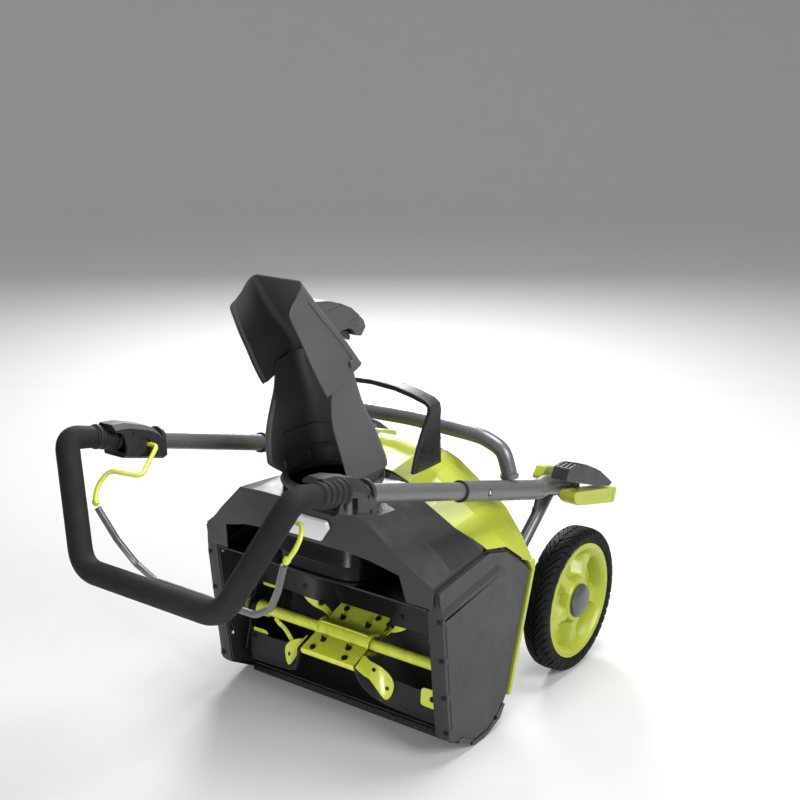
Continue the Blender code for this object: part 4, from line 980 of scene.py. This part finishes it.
def build_rails():
    for name, side in both_sides():
        bm = tube(bmesh.new(), [rail_point(side, -0.289), rail_point(side, 0.0), rail_point(side, 0.11)], 0.016, 44)
        dress(f"front_rail_{name}", bm, GREY_STEEL, "handle", bevel=0.0008)
        path = [rail_point(side, 0.012), rail_point(side, 0.268)]
        path += [(side * RAIL_X, y, z) for y, z in mm(((286, 406), (318, 406), (392, 386)))]
        bm = tube(bmesh.new(), bent(path, 0.03, 8), 0.019, 44)
        lug = mm([(-11.5, 0), (-11.5, 19), (-10, 20.5), (10, 20.5), (11.5, 19), (11.5, 0)])
        lathe(bm, lug, (side * RAIL_X, PIVOT_Y, PIVOT_Z), (side, 0, 0), 44)
        dress(f"rear_rail_{name}", bm, GREY_STEEL, "handle", bevel=0.001)
        along = Vector((0, 1, -RAIL_SLOPE)).normalized()
        seal = mm([(0, 16.2), (0, 18.6), (1, 19.7), (4.2, 19.7), (5.4, 18.8), (5.4, 16.2)])
        bm = lathe(bmesh.new(), seal, rail_point(side, 0.0085), along, 44)
        dress(f"rail_seal_{name}", bm, RUBBER, "handle")
        knob = mm([(0, 0), (0, 3.9), (6.8, 3.9), (8.6, 3.1), (9.5, 1.6), (9.7, 0)])
        bm = lathe(bmesh.new(), knob, (side * (RAIL_X + 0.012), BUTTON_Y, rail_z(BUTTON_Y)), (side, 0, 0), 24)
        dress(f"snap_button_{name}", bm, BARE_STEEL, f"button_{name}")
        rim = mm([(18.4, 4.6), (19.2, 4.6), (19.6, 5.2), (19.6, 6), (18.4, 6.6)])
        bm = lathe(bmesh.new(), rim, rail_point(side, BUTTON_Y), (side, 0, 0), 28)
        dress(f"button_rim_{name}", bm, BLACK, "handle")
    half = mm([(224, 464), (222, 474), (209, 505), (180, 520), (150, 526), (75, 529.5)])
    path = [(x, 0.188, z) for x, z in there_and_back(half, [(0, 0.532)])]
    bm = tube(bmesh.new(), curve_points(path, 8), 0.0148, 36)
    for side in (1, -1):
        collar = mm([(0, 14.9), (0, 16.2), (2, 17.2), (10, 17.2), (10, 14.9)])
        lathe(bm, collar, (side * 0.226, 0.188, 0.456), (side * -0.14, 0, 1), 36)
    dress("cross_brace", bm, GREY_STEEL, "handle")


HOUSING = mm([  # along the grip housing: place, underside, top
    (-379, 566.5, 623.5), (-350, 557.7, 620), (-304, 544.8, 604.5), (-283, 539, 593), (-270, 535.2, 580),
    (-264, 537.2, 568),
])
HOUSING_INNER, HOUSING_OUTER = 0.203, 0.257
MOUTH = mm([(-420, 572), (-420, 611.8), (-356, 611.8), (-344, 602), (-337, 578), (-337, 562), (-360, 569)])
NOTCH = mm([(-420, 554), (-420, 611), (-374, 611), (-362, 604), (-356, 592), (-355.5, 578), (-360, 566), (-370, 556)])
BUTTON_SEAT = mm([(-348, 549), (-348, 585), (-312, 577), (-312, 540)])
WIRE_SEAT = mm([(-330, 556), (-330, 590), (-304, 583), (-304, 549)])
GRIP_CUTS = (
    (MOUTH, 0.2075, 0.252), (NOTCH, 0.19, 0.27), (rounded_outline(BUTTON_SEAT, 0.004), 0.249, 0.28),
    (rounded_outline(WIRE_SEAT, 0.004), 0.18, 0.208),
)
BELLOWS_FOLDS, BELLOWS_PITCH = 5, 0.0142
BELLOWS_FOLD = mm([  # along a fold, and in from its widest radius
    (0, 3), (1.5, 0.5), (4.2, 0), (7.2, 0.6), (8.8, 3.2), (12.2, 4.2),
])


def build_grip():
    axis = (Vector(GRIP_CORNER) - Vector(GRIP_START)).normalized()
    for name, side in both_sides():
        rings = []
        for y, low, high in HOUSING:
            fall = min(0.021, (high - low) * 0.45)
            section = [
                (HOUSING_INNER, low + 0.004), (HOUSING_INNER + 0.005, low), (HOUSING_OUTER - 0.005, low),
                (HOUSING_OUTER, low + 0.005), (HOUSING_OUTER, high - fall), (HOUSING_OUTER - 0.015, high),
                (HOUSING_INNER + 0.01, high), (HOUSING_INNER, high - 0.008),
            ]
            rings.append([(side * x, y, z) for x, z in section])
        bm = skin(bmesh.new(), rings)
        cutters = [prism(bmesh.new(), outline, "x", side * low, side * high) for outline, low, high in GRIP_CUTS]
        hole = lathe(bmesh.new(), ring(0.2, 0, 0.0163), rail_point(side, -0.2915), (0, 1, -RAIL_SLOPE), 32)
        bm = carved(bm, *cutters, hole)
        collar = mm([(0, 16.4), (0, 22.5), (1.5, 24), (6, 24), (7.5, 22.5), (7.5, 16.4)])
        lathe(bm, collar, rail_point(side, -0.2675), (0, 1, -RAIL_SLOPE), 36)
        dress(f"grip_housing_{name}", bm, CHARCOAL, "handle", bevel=0.0026, segments=3)
        profile = [(0.0, 0.013)]
        for k in range(BELLOWS_FOLDS):
            spot, wide = 0.002 + BELLOWS_PITCH * k, 0.0252 - 0.0009 * k
            profile += [(spot + further, wide - less) for further, less in BELLOWS_FOLD]
        profile += mm([(70, 19.5), (71.5, 17.5), (71.5, 13)])
        direction = (side * axis.x, axis.y, axis.z)
        bm = lathe(bmesh.new(), profile, (side * 0.237, -0.329, 0.5872), direction, 48)
        dress(f"bellows_{name}", bm, RUBBER, "handle")
        bm = bmesh.new()
        for y, z in ((-0.278, 0.544), (-0.284, 0.57)):
            bolt(bm, (side * 0.2568, y, z), (side, 0, 0), 0.0026, 0.002)
        bolt(bm, (side * 0.2032, -0.34, 0.6), (-side, 0, 0), 0.0024, 0.0018)
        dress(f"grip_screws_{name}", bm, BOLT_STEEL, "handle")
    bar = rounded_outline(mm([(-338, 554.5), (-338, 580), (-324, 577), (-324, 551)]), 0.005)
    bm = raised(bmesh.new(), bar, "x", 0.2484, 0.2562, 0.002)
    for z in (0.56, 0.564, 0.568, 0.572):
        tube(bm, [(0.2561, -0.335, z), (0.2561, -0.327, z)], 0.0006, 6)
    dress("start_button", bm, CHUTE, "start", bevel=0.0012)
    bm = tube(bmesh.new(), grip_path(GRIP_START), 0.0124, 32)
    dress("grip_tube", bm, GREY_STEEL, "handle")

    def swell(share):
        edge = min(share, 1 - share)
        return 0.02 - 0.0012 * max(0.0, 1 - edge / 0.004)

    bm = tube(bmesh.new(), grip_path((0.2413, -0.4, 0.6029)), swell, 40)
    foam = dress("foam_grip", bm, FOAM, "handle", bevel=0.0022, segments=3)
    build_bail()


WIRE = [
    (0.21, BAIL_Y, BAIL_Z), (0.187, BAIL_Y, BAIL_Z), (0.157, -0.37, 0.541), (0.208, -0.3895, 0.546),
    (0.215, -0.3965, 0.54), (0.2185, -0.4065, 0.5295), (0.218, -0.4165, 0.5175), (0.214, -0.424, 0.507),
    (0.207, -0.429, 0.4965),
]
BAR = mm([(205, -428, 492.5), (179, -414, 438), (151, -400, 396), (112, -393, 371)])


def build_bail():
    for name, side in both_sides():
        path = bent([(side * x, y, z) for x, y, z in WIRE], 0.014, 8)
        bm = tube(bmesh.new(), path, 0.004, 20)
        cuff = mm([(0, 3.6), (0, 5.4), (1.5, 6), (6.5, 6), (8, 5.2), (8, 3.6)])
        lathe(bm, cuff, path[-1] + Vector((side * 0.0008, 0.0006, 0.0018)), path[-2] - path[-1], 28)
        dress(f"bail_wire_{name}", bm, LIME_STEEL, "bail")
    bm = tube(bmesh.new(), bent(there_and_back(BAR), 0.03, 10), 0.0058, 28)
    dress("bail_bar", bm, GREY_STEEL, "bail", bevel=0.0012)


# Pivot hardware and frame

PIVOT_COVER = mm([
    (290.5, 432), (304, 453.5), (332, 454.5), (385, 436), (431, 413.5), (487, 372.2), (470, 369.4), (404, 391),
])
COVER_RIDGE = mm([(308, 453.5), (332, 454.5), (385, 436), (431, 413.5), (478, 379.5)])
LEVER = mm([(326.5, 389.5), (334, 397), (507.5, 356.5), (495.5, 327), (345, 366.5), (330.5, 376.5)])
LEVER_GROOVE = mm([(483, 310), (485.5, 310), (492.5, 380), (490, 380)])
LEVER_PANEL = mm([(364, 372), (360, 382), (474, 356), (470, 342)])
NUT = mm([(330.5, 408), (352, 429.5), (403.5, 413.5), (399.5, 392.5), (372, 392.8)])
FRAME_PATH = mm([(400, 372), (268, 268), (236, 222), (236, 170), (290, 148), (385, 148)])
CABLE = mm([
    (216, 215.5, 300), (217.2, 230, 308), (218, 245, 318.5), (219.2, 268, 334), (220, 288, 352), (220.5, 302, 384),
])


def build_pivots():
    for name, side in both_sides():
        bm = prism(bmesh.new(), rounded_outline(PIVOT_COVER, 0.006), "x", side * 0.2545, side * 0.2885)
        for x in (0.2625, 0.2715, 0.2805):
            tube(bm, [(side * x, y, z + 0.0004) for y, z in COVER_RIDGE], 0.0016, 8)
        dress(f"pivot_cover_{name}", bm, CHARCOAL, "chassis", bevel=0.0022, segments=3)
        bm = prism(bmesh.new(), rounded_outline(LEVER, 0.007, 6), "x", side * 0.255, side * 0.289)
        groove = prism(bmesh.new(), LEVER_GROOVE, "x", side * 0.2875, side * 0.3)
        bm = carved(bm, groove, prism(bmesh.new(), rounded_outline(LEVER_PANEL, 0.004), "x", side * 0.288, side * 0.3))
        dress(f"cam_lever_{name}", bm, LIME, f"lever_{name}", bevel=0.0024, segments=3)
        bm = prism(bmesh.new(), rounded_outline(NUT, 0.007, 5), "x", side * 0.1895, side * 0.211)
        for y, z in mm(((356, 422.5), (372, 418.5), (388, 414.5))):
            tube(bm, [(side * 0.193, y, z + 0.001), (side * 0.2075, y, z + 0.001)], 0.0018, 8)
        dress(f"pivot_nut_{name}", bm, LIME, "chassis", bevel=0.0022, segments=3)
        build_frame(name, side)
    cable = curve_points(CABLE, 8)
    bm = tube(bmesh.new(), cable, 0.0029, 16)
    for spot, heading in ((cable[0], cable[1] - cable[0]), (cable[-6], cable[-6] - cable[-1])):
        lathe(bm, mm([(0, 2.6), (0, 4.4), (6, 4.2), (14, 3.4), (14, 2.6)]), spot, heading, 20)
    dress("control_cable", bm, RUBBER, "chassis")
    axle = mm([(0, 0), (0, 6.8), (1.2, 7.9), (569.8, 7.9), (571, 6.8), (571, 0)])
    bm = lathe(bmesh.new(), axle, (-0.2855, WHEEL_Y, WHEEL_Z), (1, 0, 0), 40)
    for side in (1, -1):
        collar = mm([(0, 7.8), (0, 12.5), (6, 12.5), (7, 11.5), (7, 7.8)])
        lathe(bm, collar, (side * 0.214, WHEEL_Y, WHEEL_Z), (side, 0, 0), 32)
    dress("axle", bm, BARE_STEEL, "chassis")


def build_frame(name, side):
    x = side * 0.198
    bm = tube(bmesh.new(), bent([(x, y, z) for y, z in FRAME_PATH], 0.045, 10), 0.0124, 32)
    boss = mm([(-9.5, 0), (-9.5, 17), (-8, 18.5), (11.5, 18.5), (13, 17), (13, 0)])
    lathe(bm, boss, (x, PIVOT_Y, PIVOT_Z), (side, 0, 0), 36)
    lathe(bm, ring(0.054, 0, 0.0059), (x, PIVOT_Y, PIVOT_Z), (side, 0, 0), 24)
    strap = rounded_outline(mm([(385.5, 360.5), (413.8, 360.5), (411.8, 415.8), (385.5, 423.5)]), 0.006)
    prism(bm, strap, "x", side * 0.2509, side * 0.2536)
    eye = mm([(-9.4, 8.3), (-9.4, 16), (-8, 17.4), (11.5, 17.4), (12.9, 16), (12.9, 8.3)])
    lathe(bm, eye, (x, WHEEL_Y, WHEEL_Z), (side, 0, 0), 36)
    foot = rounded_outline(rectangle(0.2245, 0.1845, 0.2465, 0.2055), 0.005)
    prism(bm, foot, "x", side * 0.1254, side * 0.1975)
    dress(f"frame_{name}", bm, GREY_STEEL, "chassis", f"frame_tube_{name}", bevel=0.001)


# Lift handle, rear housing, motor and battery

LIFT_PATH = mm([
    (113, 484.5), (115, 505), (118, 530), (122.5, 556), (127.5, 580), (132, 597.5), (131, 608.5), (122, 615),
    (90, 623.5), (55, 630),
])
LIFT_SPANS = mm([
    (78, 45.5), (78, 42), (77.5, 36), (77, 28.5), (76.2, 22), (75.5, 18), (75, 16.5), (75, 16), (75, 16), (75, 16),
])
LIFT_Y = 0.078
GRAIN_ROWS, GRAIN_PITCH = 12, 0.0072
LIFT_EDGE = [(-0.8, -0.0049), (-0.95, -0.0042), (-1.0, -0.002), (-1.0, 0.0022), (-0.95, 0.0042), (-0.8, 0.0049)]
LIFT_SECTION = LIFT_EDGE + [(-share, up) for share, up in reversed(LIFT_EDGE)]  # share of the half width, height


def build_lift_handle():
    points = there_and_back(LIFT_PATH, [(0.0, 0.6335)])
    spans = LIFT_SPANS + [(0.075, 0.016)] + LIFT_SPANS[::-1]
    sections = []
    for i, ((x, z), (middle, width)) in enumerate(zip(points, spans)):
        along = (Vector(points[min(i + 1, len(points) - 1)]) - Vector(points[max(i - 1, 0)])).normalized()
        sections.append([(x - along.y * up, middle + share * width, z + along.x * up) for share, up in LIFT_SECTION])
    bm = skin(bmesh.new(), sections)
    dress("lift_handle", bm, BLACK_SHELL, "chassis", bevel=0.0008)
    bm = bmesh.new()
    for side in (1, -1):
        for level in range(GRAIN_ROWS):
            z = 0.4925 + level * GRAIN_PITCH * 0.866
            share = (z - 0.4845) / 0.0755
            width = 0.043 - 0.017 * share
            x = 0.113 + 0.0095 * share
            for n in range(int(2 * (width - 0.004) / GRAIN_PITCH) + 1):
                y = LIFT_Y - width + 0.005 + (n + 0.5 * (level % 2)) * GRAIN_PITCH
                if abs(y - LIFT_Y) <= width - 0.003:
                    knob = mm([(0, 0), (0, 3.4), (1.2, 2.8), (1.2, 0)])
                    lathe(bm, knob, (side * (x + 0.0047), y, z), (side, 0, -0.12), 6)
    dress("lift_grain", bm, BLACK, "chassis")


TUB = mm([(125, 108), (250, 112), (292, 165), (298, 298), (240, 362), (195, 395), (125, 330)])
TUB_HOLLOW = mm([(100, 112), (248, 116), (288, 166), (294, 320), (250, 420), (195, 450), (100, 450)])
BACK_PANEL = mm([(120, 115), (245.5, 115), (245.5, 300), (215, 355), (120, 355)])
BACK_INSET = mm([(140, 130), (232, 130), (232, 292), (206, 338), (140, 338)])
HINGE_EAR = mm([(292, 270), (298.5, 270), (318, 305), (318, 322), (308, 322.5), (300, 322), (292, 290)])
TUB_LOW_Y, TUB_LOW_Z, TUB_HIGH = 0.292, 0.165, 0.298  # where the tub's back leans from, and the Y and Z it leans to
TUB_LEAN = (TUB_HIGH - TUB_LOW_Y) / (TUB_HIGH - TUB_LOW_Z)


def tub_back(z):
    return TUB_LOW_Y + TUB_LEAN * (z - TUB_LOW_Z)


def build_rear_housing():
    bm = carved(prism(bmesh.new(), TUB, "x", -0.125, 0.125), prism(bmesh.new(), TUB_HOLLOW, "x", -0.121, 0.121))
    for side in (1, -1):
        prism(bm, [(side * x, z) for x, z in BACK_PANEL], "y", 0.2052, 0.2083)
        prism(bm, HINGE_EAR, "x", side * 0.06, side * 0.066)
        inset = rounded_outline([(side * x, z) for x, z in BACK_INSET], 0.01)
        raised(bm, inset, "y", 0.208, 0.2104, 0.0012)
        for k in range(7):
            z = 0.15 + 0.015 * k
            slot = rounded_outline(rectangle(side * 0.158, z, side * 0.214, z + 0.0052), 0.0024)
            raised(bm, slot, "y", 0.21, 0.2126, 0.0008)
        for x in (0.142, 0.16, 0.178):
            rib = [(y + x - 0.142, z) for y, z in mm(((150, 130), (154, 130), (160, 300), (156, 300)))]
            prism(bm, rib, "x", side * 0.1245, side * 0.1268)
    back = rounded_outline(rectangle(-0.098, 0.182, 0.098, 0.284), 0.01)
    low = [(x, tub_back(z) - 0.0005, z) for x, z in back]
    skin(bm, [low, [(x, tub_back(z) + 0.0022, z) for x, z in shrunk(back, 0.0012)]])
    for k in range(6):
        z = 0.2 + 0.0125 * k
        y = tub_back(z)
        slot = rounded_outline(rectangle(-0.07, z, 0.07, z + 0.0045), 0.002)
        skin(bm, [[(a, y + 0.0018, b) for a, b in slot], [(a, y + 0.0042, b) for a, b in shrunk(slot, 0.0006)]])
    hinge_pin = mm([(0, 0), (0, 2.8), (0.6, 3), (137.4, 3), (138, 2.8), (138, 0)])
    lathe(bm, hinge_pin, (-0.069, *LID_HINGE), (1, 0, 0), 24)
    dress("rear_housing", bm, CHARCOAL, "chassis", bevel=0.0012)
    bm = bmesh.new()
    for side in (1, -1):
        for x, z in mm(((133, 122), (239, 122), (239, 292), (133, 345))):
            bolt(bm, (side * x, 0.2081, z), (0, 1, 0), 0.003, 0.0024)
        for z in (0.19, 0.276):
            bolt(bm, (side * 0.088, 0.295 + TUB_LEAN * (z - 0.182), z), (0, 1, -0.04), 0.0028, 0.0022)
    dress("rear_screws", bm, BOLT_STEEL, "chassis")


def build_motor():
    can = mm([(0, 41.8), (0, 34.2), (104.5, 34.2), (104.5, 7.6), (109.4, 7.6), (109.4, 40), (107.4, 41.8)])
    bm = lathe(bmesh.new(), can, (0.13, MOTOR_Y, MOTOR_Z), (1, 0, 0), 56)
    for k in range(16):
        angle = 2 * math.pi * k / 16
        y, z = MOTOR_Y + 0.0412 * math.cos(angle), MOTOR_Z + 0.0412 * math.sin(angle)
        tube(bm, [(0.136, y, z), (0.234, y, z)], 0.0012, 8)
    dress("motor_housing", bm, BLACK_SHELL, "chassis", bevel=0.0006)
    bm = block(bmesh.new(), (-0.2148, 0.1203, 0.2353), (-0.1302, 0.1948, 0.28))
    for k in range(9):
        x = -0.21 + 0.0092 * k
        block(bm, (x, 0.1225, 0.2795), (x + 0.0034, 0.1925, 0.2848))
    dress("controller", bm, BLACK, "chassis", "motor_controller", bevel=0.0008)


LID_NORMAL = Vector((0, 0.809, 0.588))
LID_ALONG = Vector((0, 0.588, -0.809))


def build_battery():
    centre = Vector((0, 0.239, 0.408)) - LID_NORMAL * 0.022

    def spot(x, s, back):
        return centre - LID_NORMAL * back + Vector((x, 0, 0)) + LID_ALONG * s

    def slab(bm, half_x, low, high, near, far, corner, draft=0.0):
        first = rounded_outline(rectangle(-half_x, low, half_x, high), corner)
        second = shrunk(first, draft) if draft else first
        return skin(bm, [[spot(x, s, far) for x, s in first], [spot(x, s, near) for x, s in second]])

    bm = slab(bmesh.new(), 0.0415, -0.0475, 0.0475, 0.03, 0.1115, 0.006)
    slab(bm, 0.0418, -0.0478, 0.0478, 0.004, 0.0285, 0.01, 0.002)
    slab(bm, 0.03, -0.033, 0.012, 0.0006, 0.0045, 0.006, 0.001)
    for k in range(5):
        slab(bm, 0.022, 0.018 + 0.005 * k, 0.0205 + 0.005 * k, 0.0014, 0.0045, 0.001)
    dress("battery", bm, BLACK_SHELL, "battery", "battery_pack", bevel=0.001)
    bm = slab(bmesh.new(), 0.018, -0.042, -0.036, 0.0003, 0.0045, 0.002, 0.0006)
    dress("battery_latch", bm, LIME, "battery", bevel=0.0006)


# Studio

CAMERA_AZIMUTH, CAMERA_ELEVATION = math.radians(35.9), math.radians(16.6)
CAMERA_PLACE = (1.449, -1.849, 1.313)
FLOOR_RADIUS, BOWL_RADIUS, WALL_TOP, WALL_OUTSIDE = 6.0, 3.5, 6.0, 9.7
LIGHTS = (  # name, place, size, watts
    ("key", (3.0, -0.2, 2.2), 1.5, 112), ("fill", (-0.6, -3.4, 1.1), 1.8, 8), ("rim", (-1.9, 2.5, 2.05), 1.0, 105),
    ("top", (0.3, 0.7, 3.2), 1.4, 92), ("mouth", (0.35, -1.45, 0.26), 0.34, 0.95),
)


def build_studio():
    """A camera, a round floor that curves up into a wall, and soft lights; the last one lights the auger."""
    scene = bpy.context.scene
    data = bpy.data.cameras.new("camera")
    data.lens, data.sensor_width = 60.9, 36.0
    camera = bpy.data.objects.new("camera", data)
    camera.location = CAMERA_PLACE
    camera.rotation_euler = (math.pi / 2 - CAMERA_ELEVATION, 0, CAMERA_AZIMUTH)
    scene.collection.objects.link(camera)
    scene.camera = camera
    profile = [(0.0, 0.001), (0.0, FLOOR_RADIUS)]
    for angle in range(6, 91, 6):
        turn = math.radians(angle)
        profile.append((BOWL_RADIUS - BOWL_RADIUS * math.cos(turn), FLOOR_RADIUS + BOWL_RADIUS * math.sin(turn)))
    profile += [(WALL_TOP, 9.5), (WALL_TOP, WALL_OUTSIDE), (-0.2, WALL_OUTSIDE), (-0.2, 0.001)]
    paint = finish("studio_paint", (0.5, 0.5, 0.495), 0.75, 60, 0.0002, 0.01)
    glow = paint.node_tree.nodes["Principled BSDF"].inputs
    glow["Emission Color"].default_value = (1, 1, 1, 1)
    glow["Emission Strength"].default_value = 0.07
    floor = stand("studio_floor", lathe(bmesh.new(), profile, (0, 0, 0), (0, 0, 1), 96), paint)
    floor.data.set_sharp_from_angle(angle=math.radians(35))
    world = bpy.data.worlds.new("studio")
    world.use_nodes = True
    sky = world.node_tree.nodes["Background"].inputs
    sky["Color"].default_value = (0.94, 0.97, 1.0, 1)
    sky["Strength"].default_value = 0.32
    scene.world = world
    for name, place, size, power in LIGHTS:
        data = bpy.data.lights.new(name, "AREA")
        data.energy, data.size = power, size
        target = Vector((0, 0, 0.35))
        if name == "mouth":
            data.spread = math.radians(50)
            target.z = 0.2
        light = bpy.data.objects.new(name, data)
        light.location = place
        light.rotation_euler = (target - Vector(place)).to_track_quat("-Z", "Y").to_euler()
        scene.collection.objects.link(light)
    scene.view_settings.view_transform = "Standard"


build_housing()
build_auger()
build_covers()
build_rear_housing()
build_motor()
build_battery()
build_chute()
build_lift_handle()
build_wheels()
build_pivots()
build_rails()
build_grip()
build_studio()
